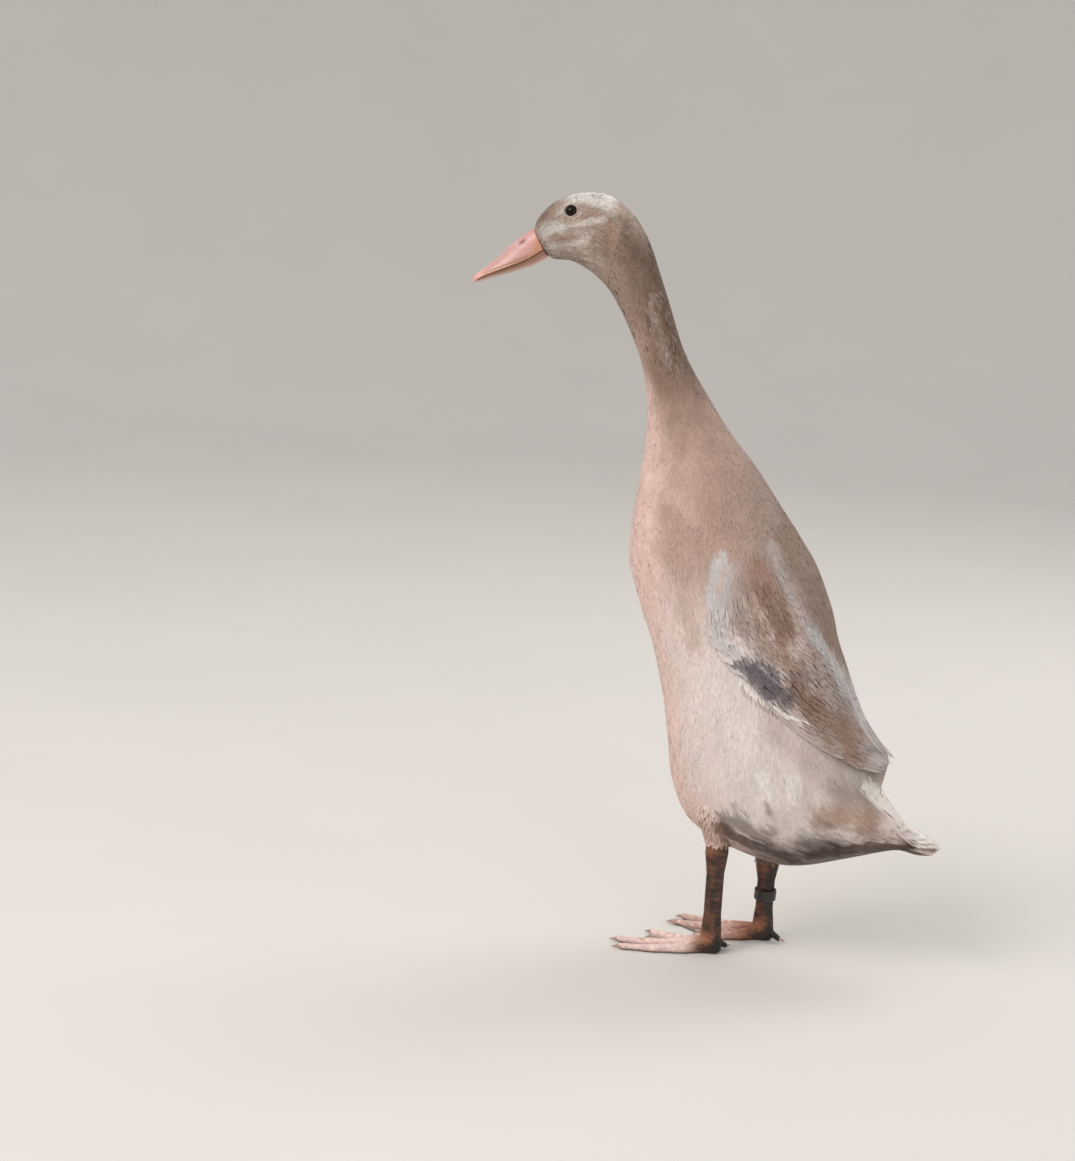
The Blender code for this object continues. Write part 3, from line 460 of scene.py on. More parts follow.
# A soft patch: colour, strength, half width, softness, and its middle line as y, z, y, z, ...
MARKS = (
    ("brown", 0.8, 11, 16, (-1, 314, 8, 296, 22, 274)),
    ("brown", 0.6, 6, 12, (28, 256, 36, 240)),
    ("brown", 0.5, 9, 14, (-8, 284, 6, 270, 20, 258, 34, 246)),
    ("brown", 0.4, 5, 10, (24, 270, 36, 258)),
    ("nape", 0.3, 5, 12, (2, 304, 10, 292, 18, 280)),
    # Painted shade on the flank between the breast and the wing's wrist.
    ("fawn", 0.5, 7, 16, (-54, 314, -52, 286, -48, 262)),
    ("back", 0.5, 5, 8, (-7, 268, 6, 259)),
    ("back", 0.6, 8, 12, (-16, 312, -14, 296, -8, 276)),
    ("frost", 0.9, 4.5, 7, (-30, 330, -35, 314, -36, 298, -33, 282)),
    ("frost", 0.55, 7, 10, (-24, 320, -27, 298, -25, 278)),
    ("frost", 0.75, 3.5, 6, (-29, 272, -20, 261, -8, 256)),
    ("brown", 0.85, 9, 10, (34, 232, 50, 216, 66, 202, 84, 184)),
    ("nape", 0.35, 4, 8, (32, 234, 50, 216)),
    # Painted shadow cast by the wing's upper edge on the back beyond it.
    ("neck", 0.65, 7, 7, (14, 348, 24, 326, 38, 302, 49, 278, 61, 254, 74, 230, 88, 206)),
    # The pale ridge of the wing's upper edge: pale feather edges with a painted highlight on them.
    ("frost", 0.4, 2.5, 6, (5, 338, 15, 320, 29, 295, 43, 273)),
    ("frost", 0.9, 2.0, 4, (36, 284, 43, 273, 56, 253, 70, 228, 83, 203, 98, 185)),
    ("frost", 0.4, 5, 8, (90, 186, 100, 176, 112, 166)),
    ("cream", 0.45, 7, 12, (68, 168, 88, 160)),
    ("tan", 0.7, 9, 14, (62, 128, 78, 132, 94, 127)),
    ("brown", 0.5, 3, 6, (84, 119, 98, 116, 110, 112)),
    ("cream", 0.75, 5, 7, (112, 124, 124, 117, 136, 110)),
    ("white", 1.0, 4.5, 4, (92, 153, 100, 146, 110, 136, 123, 124, 137, 116, 147, 111)),
    ("white", 0.75, 5, 8, (38, 160, 38, 144)),
    ("white", 0.6, 4, 8, (16, 160, 20, 142)),
    # Along the underside of belly and tail: a dark band of mud and painted shade, with short dark
    # strokes above it.
    ("mud_and_shade", 0.6, 8, 12, (-12, 118, 4, 114, 18, 106)),
    ("mud_and_shade", 0.85, 6, 8, (-18, 110, -4, 102, 13, 97, 26, 93, 40, 89)),
    ("mud_and_shade", 0.5, 6, 9, (50, 104, 66, 106, 84, 107)),
    ("mud_and_shade", 0.9, 5, 6, (52, 93, 66, 97, 80, 101, 95, 104, 112, 105, 128, 106)),
    ("cream", 0.6, 4, 8, (36, 104, 46, 96)),
    ("mud_and_shade", 0.45, 1.5, 4, (18, 140, 22, 130)),
    ("mud_and_shade", 0.4, 1.5, 4, (-6, 134, 6, 124)),
    ("mud_and_shade", 0.35, 1.5, 4, (60, 128, 70, 122)),
)
WING_MARKS = (
    ("slate", 0.4, 3.5, 7, (18, 242, 36, 241, 48, 239)),
    ("slate", 0.85, 6.5, 6, (-4, 248, 10, 240, 30, 224)),
    ("slate", 0.85, 10.5, 6, (5, 242, 16, 233)),
    ("frost", 0.5, 0.8, 2, (0, 254, 13, 244, 26, 232)),
    ("white", 0.9, 2.0, 2.5, (-7, 233, 4, 224, 16, 218, 28, 212, 44, 206)),
    # Painted shadow: a thin dark line under the white edge band, where the wing's lower edge meets
    # the flank.
    ("nape", 0.5, 0.8, 2, (-7, 228, 4, 219, 16, 213, 28, 207, 44, 201)),
)
HEAD_MARKS = (
    ("brown", 0.6, 5, 7, (-197, 580, -190, 587, -184, 591)),
    ("brown", 0.65, 2.5, 5, (-167, 581, -156, 583, -146, 578, -138, 569)),
    ("white", 0.8, 4.0, 6, (-178, 600, -160, 601, -148, 597)),
    ("crown", 0.9, 4.0, 5, (-176, 596, -160, 596, -148, 592)),
    ("crown", 0.6, 2.0, 4, (-184, 571, -172, 574, -160, 578, -150, 580)),
    ("crown", 0.75, 5, 7, (-197, 569, -186, 571)),
    ("crown", 0.55, 3, 6, (-190, 556, -176, 557, -162, 564)),
    ("brown", 0.6, 1.8, 4, (-188, 565, -178, 563, -166, 568)),
    ("neck", 0.85, 7, 9, (-150, 564, -136, 556, -128, 544)),
    ("nape", 0.35, 8, 10, (-132, 560, -120, 536, -112, 520)),
    ("nape", 0.5, 4, 8, (-140, 582, -126, 568, -117, 550)),
    ("nape", 0.5, 3, 6, (-112, 570, -104, 545)),
)
NECK_MARKS = (
    ("nape", 0.5, 2.2, 4, (-101, 520, -92, 497, -84, 476)),
    ("crown", 0.25, 1.3, 5, (-107, 517, -99, 494, -90, 473)),
    ("nape", 0.4, 1.6, 4, (-112, 512, -106, 494)),
)


def distance_to_line(places, line):
    """Distance of each (y, z) place to a line through the points of a flat list."""
    knots = np.array(line, float).reshape(-1, 2)
    nearest = np.full(len(places), np.inf)
    for start, end in zip(knots[:-1], knots[1:]):
        run = end - start
        share = np.clip((places - start) @ run / (run @ run), 0, 1)
        away = np.linalg.norm(places - start - share[:, None] * run, axis=1)
        nearest = np.minimum(nearest, away)
    return nearest


def plumage_colour(points, station, angle, marks=(), wobble=1.0):
    """The plumage's colour at points of the bird, in linear values."""
    shades = bpy.context.scene.duck_plumage
    points = points.reshape(-1, 3)
    u = np.ravel(station)
    turn = np.degrees(off_the_back(np.ravel(angle)))
    z = points[:, 2]
    uneven = ripple(points, 26.0, 3)
    fine = ripple(points, 7.0, 4)
    streak = ripple(np.column_stack([u * 5, turn, 0 * u]), 5.0, 6)
    strand = ripple(np.column_stack([u * 3, turn * 0.6, 0 * u]), 3.0, 8)
    u = u + 0.25 * uneven * wobble
    turn = turn + 9 * ripple(points, 40.0, 5) * wobble
    # Each shade sets in and ends softly over stations u and degrees turn, 0 at the back.
    front, back = ramp(turn, 80, 140), ramp(turn, 75, 25)
    colour = np.tile(np.array(shades.fawn), (len(points), 1))

    def blend(name, share):
        colour[:] = mixed(colour, getattr(shades, name), np.clip(share, 0, 1)[:, None])

    torso = ramp(u, 12.5, 15.5)
    blend("breast", front * ramp(u, 12.0, 14.5) * 0.95)
    blend("cream", ramp(z, 330, 235) * (0.45 + 0.55 * ramp(turn, 35, 95)) * torso)
    blend("back", back * torso * ramp(u, 26.5, 24) * 0.9)
    blend("brown", ramp(u, 11.0, 13.0) * ramp(u, 18.0, 14.5) * ramp(turn, 130, 80) * 0.35)
    blend("neck", ramp(u, 13.6, 10.6) * (1 - 0.35 * front))
    blend("breast", ramp(turn, 95, 150) * ramp(u, 7.5, 11.0) * 0.85)
    blend("nape", ramp(turn, 150, 60) * ramp(u, 4.4, 6.0) * ramp(u, 9.5, 7.5) * 0.4)
    blend("nape", back * ramp(u, 5.0, 6.6) * ramp(u, 12.5, 10.0) * 0.7)
    blend("cheek", ramp(u, 7.4, 5.6))
    blend("crown", ramp(turn, 70, 40) * ramp(u, 5.2, 4.0) * ramp(u, 0.6, 2.0))
    blend("neck", ramp(u, 3.6, 5.4) * ramp(u, 7.4, 6.0) * ramp(turn, 30, 60) * 0.55)
    blend("nape", ramp(fine, 0.7, 1.9) * ramp(u, 8.0, 5.0) * 0.25)
    # Painted shade: a darker strip down the middle of the back, between the wings' upper edges.
    blend("neck", ramp(turn, 24, 6) * torso * ramp(u, 24.0, 20.0) * 0.6)
    places = points[:, 1:]
    for name, strength, half_width, softness, line in MARKS + tuple(marks):
        stray = (1.5 * uneven + 0.9 * fine + 1.5 * streak) * wobble * softness / 8
        away = distance_to_line(places, line) + stray
        blend(name, strength * ramp(away, half_width + softness / 2, half_width - softness / 2))
    # Painted shade under the rear body and the root of the tail.
    rear_underside_shade = ramp(turn + 8 * streak, 76, 96) * ramp(u, 24.6, 26.4)
    blend("mud_and_shade", rear_underside_shade * (0.78 + 0.14 * streak))
    of_head = ramp(u, 6.2, 4.6)
    blend("white", ramp(strand, 0.2, 1.6) * of_head * 0.26)
    blend("nape", ramp(strand, -0.3, -1.7) * of_head * 0.34)
    shade = 1 + 0.035 * uneven + 0.03 * fine
    return np.clip(colour * shade[:, None], 0.0, 1.0)


# Meshes from arrays


def to_metres(points):
    points = np.array(points, float)
    points[..., 1] -= BOX_MIDDLE_Y
    return points * MM


def link(name, mesh, material):
    mesh.name = name
    mesh.materials.append(material)
    obj = bpy.data.objects.new(name, mesh)
    bpy.context.scene.collection.objects.link(obj)
    return obj


def hand_in(obj, slot, *nodes):
    """Parents a piece to the root body and hides the nodes that it stands for. The slot is not used.
    """
    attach(obj, "root")
    if nodes:
        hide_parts(*nodes)


def mesh_from_arrays(name, points, face_groups, maps=None, colours=None):
    """A mesh from points in millimetres and arrays of faces of equally many corners each."""
    mesh = bpy.data.meshes.new(name)
    flat = np.ascontiguousarray(to_metres(points.reshape(-1, 3)), np.float32)
    corners = np.concatenate([group.ravel() for group in face_groups]).astype(np.int32)
    sizes = np.concatenate([np.full(len(group), group.shape[1]) for group in face_groups])
    starts = np.concatenate([[0], np.cumsum(sizes)[:-1]]).astype(np.int32)
    mesh.vertices.add(len(flat))
    mesh.vertices.foreach_set("co", flat.ravel())
    mesh.loops.add(len(corners))
    mesh.loops.foreach_set("vertex_index", corners)
    mesh.polygons.add(len(starts))
    mesh.polygons.foreach_set("loop_start", starts)
    for map_name, places in (maps or {}).items():
        layer = mesh.uv_layers.new(name=map_name)
        values = np.ascontiguousarray(places.reshape(-1, 2)[corners], np.float32)
        layer.uv.foreach_set("vector", values.ravel())
    mesh.update(calc_edges=True)
    if colours is not None:
        paint(mesh, colours)
    return mesh


def paint(mesh, colours):
    """Stores one colour for each vertex under the name that the materials read."""
    layer = mesh.color_attributes.new(MARKINGS, "FLOAT_COLOR", "POINT")
    values = np.ones((len(mesh.vertices), 4), np.float32)
    values[:, :3] = colours.reshape(-1, 3)
    layer.data.foreach_set("color", values.ravel())


def loft_faces(rings, sides):
    """Quads between closed rings, and a fan's centre at each end, as two arrays of faces."""
    i, j = np.meshgrid(np.arange(rings - 1), np.arange(sides), indexing="ij")
    k = (j + 1) % sides
    quads = np.stack([i * sides + j, i * sides + k, (i + 1) * sides + k, (i + 1) * sides + j], -1)
    j = np.arange(sides)
    k = (j + 1) % sides
    first, last, top = rings * sides, rings * sides + 1, (rings - 1) * sides
    caps = np.vstack([
        np.stack([np.full(sides, first), k, j], -1),
        np.stack([np.full(sides, last), top + j, top + k], -1),
    ])
    return quads.reshape(-1, 4), caps


def ring_faces(count, sides):
    """Quads of a tube of many sides whose last ring joins its first."""
    i, j = np.meshgrid(np.arange(count), np.arange(sides), indexing="ij")
    k, m = (i + 1) % count, (j + 1) % sides
    return np.stack([i * sides + j, k * sides + j, k * sides + m, i * sides + m], -1).reshape(-1, 4)


def loft_mesh(name, rings, colours=None):
    """A closed mesh from a stack of rings, turned outwards."""
    rings = np.asarray(rings, float)
    points = np.vstack([rings.reshape(-1, 3), rings[0].mean(0), rings[-1].mean(0)])
    if colours is not None:
        colours = np.asarray(colours, float)
        ends = [colours[0].mean(0), colours[-1].mean(0)]
        colours = np.vstack([colours.reshape(-1, 3), *ends])
    mesh = mesh_from_arrays(name, points, loft_faces(*rings.shape[:2]), colours=colours)
    return face_outwards(mesh)


def face_outwards(mesh):
    shell = bmesh.new()
    shell.from_mesh(mesh)
    bmesh.ops.recalc_face_normals(shell, faces=shell.faces)
    if shell.calc_volume(signed=True) < 0:
        bmesh.ops.reverse_faces(shell, faces=shell.faces)
    shell.to_mesh(mesh)
    shell.free()
    return mesh


def vertex_places(mesh):
    """The mesh's vertices in the bird's millimetres."""
    flat = np.empty(len(mesh.vertices) * 3, np.float32)
    mesh.vertices.foreach_get("co", flat)
    points = flat.reshape(-1, 3).astype(float) / MM
    points[:, 1] += BOX_MIDDLE_Y
    return points


def one_skin(name, meshes, voxel):
    """Joins closed meshes that overlap into one closed skin of even faces."""
    shell = bmesh.new()
    for mesh in meshes:
        shell.from_mesh(mesh)
    joined = bpy.data.meshes.new(name)
    shell.to_mesh(joined)
    shell.free()
    obj = bpy.data.objects.new(name, joined)
    bpy.context.scene.collection.objects.link(obj)
    remesh = obj.modifiers.new("one skin", "REMESH")
    remesh.mode = "VOXEL"
    remesh.voxel_size = voxel * MM
    smooth = obj.modifiers.new("even out", "SMOOTH")
    smooth.factor = 0.5
    smooth.iterations = 3
    graph = bpy.context.evaluated_depsgraph_get()
    skin = bpy.data.meshes.new_from_object(obj.evaluated_get(graph))
    bpy.data.objects.remove(obj)
    for mesh in meshes + [joined]:
        bpy.data.meshes.remove(mesh)
    return skin


# Materials


def add_node(tree, kind, **values):
    """Adds a node, and joins or sets each value at the input or option of its name."""
    node = tree.nodes.new(kind)
    for key, value in values.items():
        key = key.replace("_", " ") if key.replace("_", " ") in node.inputs else key
        if isinstance(value, bpy.types.NodeSocket):
            tree.links.new(value, node.inputs[key])
        elif key in node.inputs:
            node.inputs[key].default_value = value
        else:
            setattr(node, key, value)
    return node


def maths(tree, operation, *values):
    """A maths node fed by sockets and plain numbers."""
    node = add_node(tree, "ShaderNodeMath", operation=operation)
    for entry, value in zip(node.inputs, values):
        if isinstance(value, float):
            entry.default_value = value
        else:
            tree.links.new(value, entry)
    return node.outputs[0]


class Look:
    """A material in the making, with short calls for the nodes that the pieces share."""

    def __init__(self, name):
        self.material = bpy.data.materials.new(name)
        self.material.use_nodes = True
        self.tree = self.material.node_tree
        self.place = self.add("ShaderNodeTexCoord").outputs["Object"]

    def add(self, kind, **values):
        return add_node(self.tree, kind, **values)

    def stored_colour(self):
        return self.add("ShaderNodeAttribute", attribute_name=MARKINGS).outputs["Color"]

    def varied(self, colour, factor, low, high):
        """The colour made darker and lighter by a factor of 0 to 1."""
        span = self.add("ShaderNodeMapRange", Value=factor, To_Min=low, To_Max=high)
        mix = self.add("ShaderNodeVectorMath", operation="SCALE", Scale=span.outputs["Result"])
        self.tree.links.new(colour, mix.inputs[0])
        return mix.outputs["Vector"]

    def noise(self, scale, detail=3.0, stretch=None):
        spot = self.place
        if stretch:
            mapped = self.add("ShaderNodeMapping", Vector=self.place, Scale=stretch)
            spot = mapped.outputs["Vector"]
        return self.add("ShaderNodeTexNoise", Vector=spot, Scale=scale, Detail=detail,
                        Roughness=0.55).outputs["Fac"]

    def bump(self, height, strength, distance, **under):
        return self.add("ShaderNodeBump", Strength=strength, Distance=distance, Height=height,
                        **under).outputs["Normal"]

    def finish(self, colour, **values):
        """Joins the colour and the other values to the shader and gives the material."""
        shader = self.tree.nodes["Principled BSDF"]
        self.tree.links.new(colour, shader.inputs["Base Color"])
        for key, value in values.items():
            entry = shader.inputs[key.replace("_", " ")]
            if isinstance(value, bpy.types.NodeSocket):
                self.tree.links.new(value, entry)
            else:
                entry.default_value = value
        return self.material


def feather_material(name, roughness, barb_count, barb_strength):
    """Feather: its stored colour, mottled finely, with barbs slanting off the shaft."""
    look = Look(name)
    colour = look.varied(look.stored_colour(), look.noise(260.0), low=0.88, high=1.12)
    colour = look.varied(colour, look.noise(1100.0, detail=2.0), low=0.93, high=1.07)
    vane = look.add("ShaderNodeUVMap", uv_map=UV_VANE).outputs["UV"]
    split = look.add("ShaderNodeSeparateXYZ", Vector=vane)
    aside = maths(look.tree, "ABSOLUTE", split.outputs["X"])
    slanted = maths(look.tree, "MULTIPLY_ADD", aside, -BARB_SLANT, split.outputs["Y"])
    barbs = maths(look.tree, "MULTIPLY", slanted, barb_count * 2 * math.pi)
    height = maths(look.tree, "MULTIPLY_ADD", maths(look.tree, "SINE", barbs), 0.5, 0.5)
    return look.finish(look.varied(colour, height, low=0.965, high=1.035),
                       Normal=look.bump(height, barb_strength, BARB_BUMP), Roughness=roughness,
                       Sheen_Weight=0.12, Sheen_Roughness=0.5, Specular_IOR_Level=0.3)


def skin_material(name, roughness):
    """Bare skin under the feathers, in the coat's colours."""
    look = Look(name)
    fine = look.noise(700.0)
    return look.finish(look.varied(look.stored_colour(), fine, low=0.8, high=1.05),
                       Normal=look.bump(fine, 0.5, 0.0006), Roughness=roughness)


def horn_material(name, roughness, grain, bump_height, stretch=(1, 1, 1), wet=0.0):
    """Horn, scales or lids: the stored colour with fine drawn-out grain and small pits."""
    look = Look(name)
    grained = look.noise(grain, detail=4.0, stretch=stretch)
    colour = look.varied(look.stored_colour(), look.noise(grain * 0.22), low=0.86, high=1.12)
    colour = look.varied(colour, grained, low=0.9, high=1.08)
    cells = look.add("ShaderNodeTexVoronoi", Scale=grain * 1.4, Vector=look.place)
    pitted = look.bump(cells.outputs["Distance"], 0.35, bump_height)
    return look.finish(colour, Normal=look.bump(grained, 0.4, bump_height, Normal=pitted),
                       Roughness=roughness, Coat_Weight=wet, Coat_Roughness=0.15)


def eye_material(name, roughness):
    """A glossy wet eye over the stored colours of pupil and iris."""
    look = Look(name)
    return look.finish(look.varied(look.stored_colour(), look.noise(2600.0), low=0.6, high=1.5),
                       Roughness=roughness, Specular_IOR_Level=0.06, Coat_Weight=0.2,
                       Coat_Roughness=0.02)


# Feathers


class FeatherForm:
    """One kind of feather: its rows from root to tip with their shares of the full width, its
    columns, how round its tip is, how ragged, how arched, and how far it is shaded by its own
    form instead of by the body's."""

    def __init__(self, rows, widths, columns, round_tip, ragged, arch, own_shade):
        self.rows = np.array(rows, float)
        self.widths = np.array(widths, float)
        self.columns = columns
        self.round_tip = round_tip
        self.ragged = ragged
        self.arch = arch
        self.own_shade = own_shade


DOWN = FeatherForm((0, 0.5, 1), (0.6, 1.0, 0.10), 3, 0.0, 0.05, 0.16, 0.3)
LOCK = FeatherForm((0, 0.35, 0.75, 1), (0.55, 1.0, 0.75, 0.08), 3, 0.0, 0.02, 0.20, 0.25)
LEAF = FeatherForm((0, 0.3, 0.6, 0.85, 1), (0.5, 0.95, 1.0, 0.86, 0.5), 5, 0.18, 0.012, 0.06, 0.25)
VANE = FeatherForm(
    (0, 0.06, 0.15, 0.28, 0.42, 0.56, 0.7, 0.8, 0.88, 0.94, 0.98, 1),
    (0.30, 0.62, 0.82, 0.94, 1.0, 1.0, 0.98, 0.92, 0.8, 0.62, 0.42, 0.16),
    7, 0.05, 0.012, 0.05, 0.8)


def lay_feathers(surface, form, random, places):
    """Lays one feather at each of the given places on a surface.

    Places holds u and v of the root, du and dv to the tip, half_u and half_v to the right edge,
    low and high for the heights of root and tip, tilt for how much the right edge stands over
    the left, bend for a sideways bend and wide for the half width that the arch grows with.
    Returns points, normals and the shares along and across, each in the order feather, row,
    column, and whether the faces have to be turned round.
    """
    count = len(places["u"])
    get = {key: np.broadcast_to(value, count).reshape(-1, 1, 1).astype(float)
           for key, value in places.items()}
    rows = form.rows[None, :, None]
    across = np.linspace(-1, 1, form.columns)[None, None, :]
    width = form.widths[None, :, None]
    shape = (count, len(form.rows), form.columns)
    even = rows - form.round_tip * across**2 * rows**3
    along = even + random.normal(0, form.ragged, shape) * rows**4
    bend = get["bend"] * rows**2
    u = get["u"] + along * get["du"] + (across * width + bend) * get["half_u"]
    v = get["v"] + along * get["dv"] + (across * width + bend) * get["half_v"]
    crown = form.arch * get["wide"] * (1 - across**2) * np.sin(math.pi * np.clip(rows, 0.12, 0.88))
    lift = (get["high"] - get["low"]) * np.clip(even, 0, None) ** 0.5
    height = get["low"] + lift + get["tilt"] * across + crown
    points, under = surface(*np.broadcast_arrays(u, v, height))
    down, side = np.gradient(points, axis=1), np.gradient(points, axis=2)
    own = unit(np.cross(side, down))
    turned = np.sum(own * under, axis=-1).mean() < 0
    own = -own if turned else own
    normals = unit(own * form.own_shade + under * (1 - form.own_shade))
    rows, across = np.broadcast_to(rows, shape), np.broadcast_to(across, shape)
    return points, normals, rows, across, turned


def feather_faces(count, rows, columns, turned):
    """Faces that close each feather: its upper side, a flat underside and its two ends."""
    grid = np.arange(rows * columns).reshape(rows, columns)
    upper = np.stack([grid[:-1, :-1], grid[:-1, 1:], grid[1:, 1:], grid[1:, :-1]], -1)
    under = np.stack([grid[:-1, 0], grid[1:, 0], grid[1:, -1], grid[:-1, -1]], -1)
    ends = np.stack([grid[0, ::-1], grid[-1]])
    shift = (np.arange(count) * rows * columns)[:, None, None]
    groups = {"upper": upper.reshape(-1, 4), "under": under, "ends": ends}
    for kind, group in groups.items():
        group = (group[None] + shift).reshape(-1, group.shape[1])
        groups[kind] = group[:, ::-1] if turned else group
    return groups


class Coat:
    """Gathers feathers of several kinds for one coat piece."""

    def __init__(self, name, material):
        self.name, self.material = name, material
        self.points, self.normals, self.colours, self.bake, self.vane = [], [], [], [], []
        self.faces = {}
        self.total = 0

    def add(self, laid, form, colours, bake_places, side=1, root_shade=0.85, tip_shade=1.04):
        """Takes laid feathers, each with a root colour and a root place on the skin's unwrap."""
        points, normals, rows, across, turned = laid
        mirror = np.array((side, 1, 1))
        points, normals = points * mirror, normals * mirror
        turned = turned != (side < 0)
        # Painted shade: each feather is darkened towards its root, where it lies under the feathers
        # above; its tip is lightened a little and its sides darkened a little.
        shade = root_shade + (1 - root_shade) * ramp(rows, 0.0, 0.5)
        shade = shade * (1 + (tip_shade - 1) * ramp(rows, 0.7, 1.0)) * (1 - 0.03 * across**2)
        if colours.ndim == 2:
            colours = colours[:, None, None, :]
        patch = np.stack([across / 2, rows - 0.5], -1) * PATCH
        self.points.append(points.reshape(-1, 3))
        self.normals.append(normals.reshape(-1, 3))
        self.colours.append(np.clip(colours * shade[..., None], 0, 1).reshape(-1, 3))
        roots = np.clip(bake_places, 0.004, 0.996)[:, None, None, :]
        self.bake.append((roots + patch).reshape(-1, 2))
        self.vane.append(np.stack([across, rows], -1).reshape(-1, 2))
        faces = feather_faces(len(points), len(form.rows), form.columns, turned)
        for kind, group in faces.items():
            self.faces.setdefault((kind, group.shape[1]), []).append(group + self.total)
        self.total += points.shape[0] * points.shape[1] * points.shape[2]

    def finish(self, slot, *nodes):
        """Makes the piece's mesh, shades its undersides from below, parents it to the root body and
        hides the nodes that it stands for.
        """
        points, normals = np.concatenate(self.points), np.concatenate(self.normals)
        faces = [np.concatenate(groups) for groups in self.faces.values()]
        facing = [normals[group.ravel()] * (1 if kind == "upper" else -1)
                  for (kind, _), group in zip(self.faces, faces)]
        maps = {UV_BAKE: np.concatenate(self.bake), UV_VANE: np.concatenate(self.vane)}
        mesh = mesh_from_arrays(self.name, points, faces, maps, np.concatenate(self.colours))
        mesh.normals_split_custom_set(np.concatenate(facing).astype(np.float32))
        hand_in(link(self.name, mesh, self.material), slot, *nodes)


def scatter_on_body(first, last, row_step, side_step, random, keep=None):
    """Staggered rows of spots over a length of the body, as station and angle arrays. Where
    the body's stations run closer together, some spots are left out."""
    stations, angles = [], []
    fine = np.linspace(first, last, 400)
    scale = body_scale(fine, np.full_like(fine, math.pi / 2))[0]
    run = np.concatenate([[0], np.cumsum((scale[1:] + scale[:-1]) / 2 * np.diff(fine))])
    rows = max(2, int(run[-1] / row_step))
    turns = np.linspace(0, 2 * math.pi, 181)
    for k, station in enumerate(np.interp((np.arange(rows) + 0.5) / rows * run[-1], run, fine)):
        ring = on_body(station, turns)[0]
        girth = np.concatenate([[0], np.cumsum(np.linalg.norm(np.diff(ring, axis=0), axis=1))])
        count = max(6, int(girth[-1] / side_step))
        spots = (np.arange(count) + 0.5 * (k % 2) + random.uniform(-0.25, 0.25, count)) / count
        turn = np.interp(spots % 1.0 * girth[-1], girth, turns)
        local = body_scale(np.full(count, station), turn)[0]
        level = body_scale(np.array([station]), np.array([math.pi / 2]))[0]
        kept = random.uniform(size=count) < np.clip(local / level, 0.4, 1.0)
        stations.append((station + random.uniform(-0.3, 0.3, count) * row_step / level)[kept])
        angles.append(turn[kept])
    station, angle = np.concatenate(stations), np.concatenate(angles)
    if keep is not None:
        kept = keep(station, angle)
        station, angle = station[kept], angle[kept]
    return station, angle


def lie_of_coat(station, angle, swirl):
    """How far the feathers turn off the body's length, in radians: a drift and a swirl."""
    points = on_body(station, angle)[0]
    drift = 0.10 * np.sin(angle) * ramp(station, 14, 18)
    return drift + swirl * ripple(points, 34.0, 11) + swirl * 0.8 * ripple(points, 9.0, 12)


def body_places(station, angle, length, half_width, low, high, random, swirl=0.12):
    """Places for feathers of a length and half width in millimetres on the body."""
    count = len(station)
    along, around = body_scale(station, angle)
    turn = lie_of_coat(station, angle, swirl) + random.normal(0, swirl * 0.5, count)
    length = length * random.uniform(0.85, 1.15, count)
    return {
        "u": station, "v": angle,
        "du": length * np.cos(turn) / along, "dv": length * np.sin(turn) / around,
        "half_u": -half_width * np.sin(turn) / along, "half_v": half_width * np.cos(turn) / around,
        "low": low, "high": high * random.uniform(0.9, 1.1, count),
        "tilt": random.normal(0, 0.06, count) * half_width,
        "bend": random.normal(0, 0.25, count), "wide": half_width,
    }


def coat_depth(station):
    """How deep the feathers lie over the skin along the body."""
    return np.interp(station, (0, 2, 6, 9, 13, 16, 24, 28, 30, 32),
                     (0.6, 0.7, 0.9, 1.2, 2.2, 3.0, 3.4, 2.6, 1.8, 1.0))


COVER_ROWS = 601
COVER_COLUMNS = 181
# How many degrees the body's feathers reach under the wing's edge, and the shares of the
# wing's length before and after which they grow over and under its ends.
UNDER_WING_DEGREES = 5
WING_FRONT_SHARE = 0.30
WING_REAR_SHARE = 0.74
# How far the loose feathers of the lower back stand up between the wings' ends.
RUMP_STATIONS = (18.6, 20.0, 21.2, 22.2, 23.0, 23.5, 24.7)
RUMP_RISE = (0.0, 4.2, 8.6, 14.0, 17.5, 16.0, 0.0)
# How far the flank's feathers swell up to the rear part of the wing's lower edge.
BED_RISE = 2.6
# How far the plumage heaves in soft folds, over stations.
FOLD_STATIONS = (14.4, 16.0, 19.0, 26.0, 28.0)
FOLD_HEIGHT = (0.0, 0.75, 0.45, 0.45, 0.0)


def blurred(table, passes, reach):
    """A table softened over its rows and columns."""
    for _ in range(passes):
        table = (np.roll(table, reach, 0) + table + np.roll(table, -reach, 0)) / 3
        table[:, 1:-1] = (table[:, :-2] + table[:, 1:-1] + table[:, 2:]) / 3
    return table


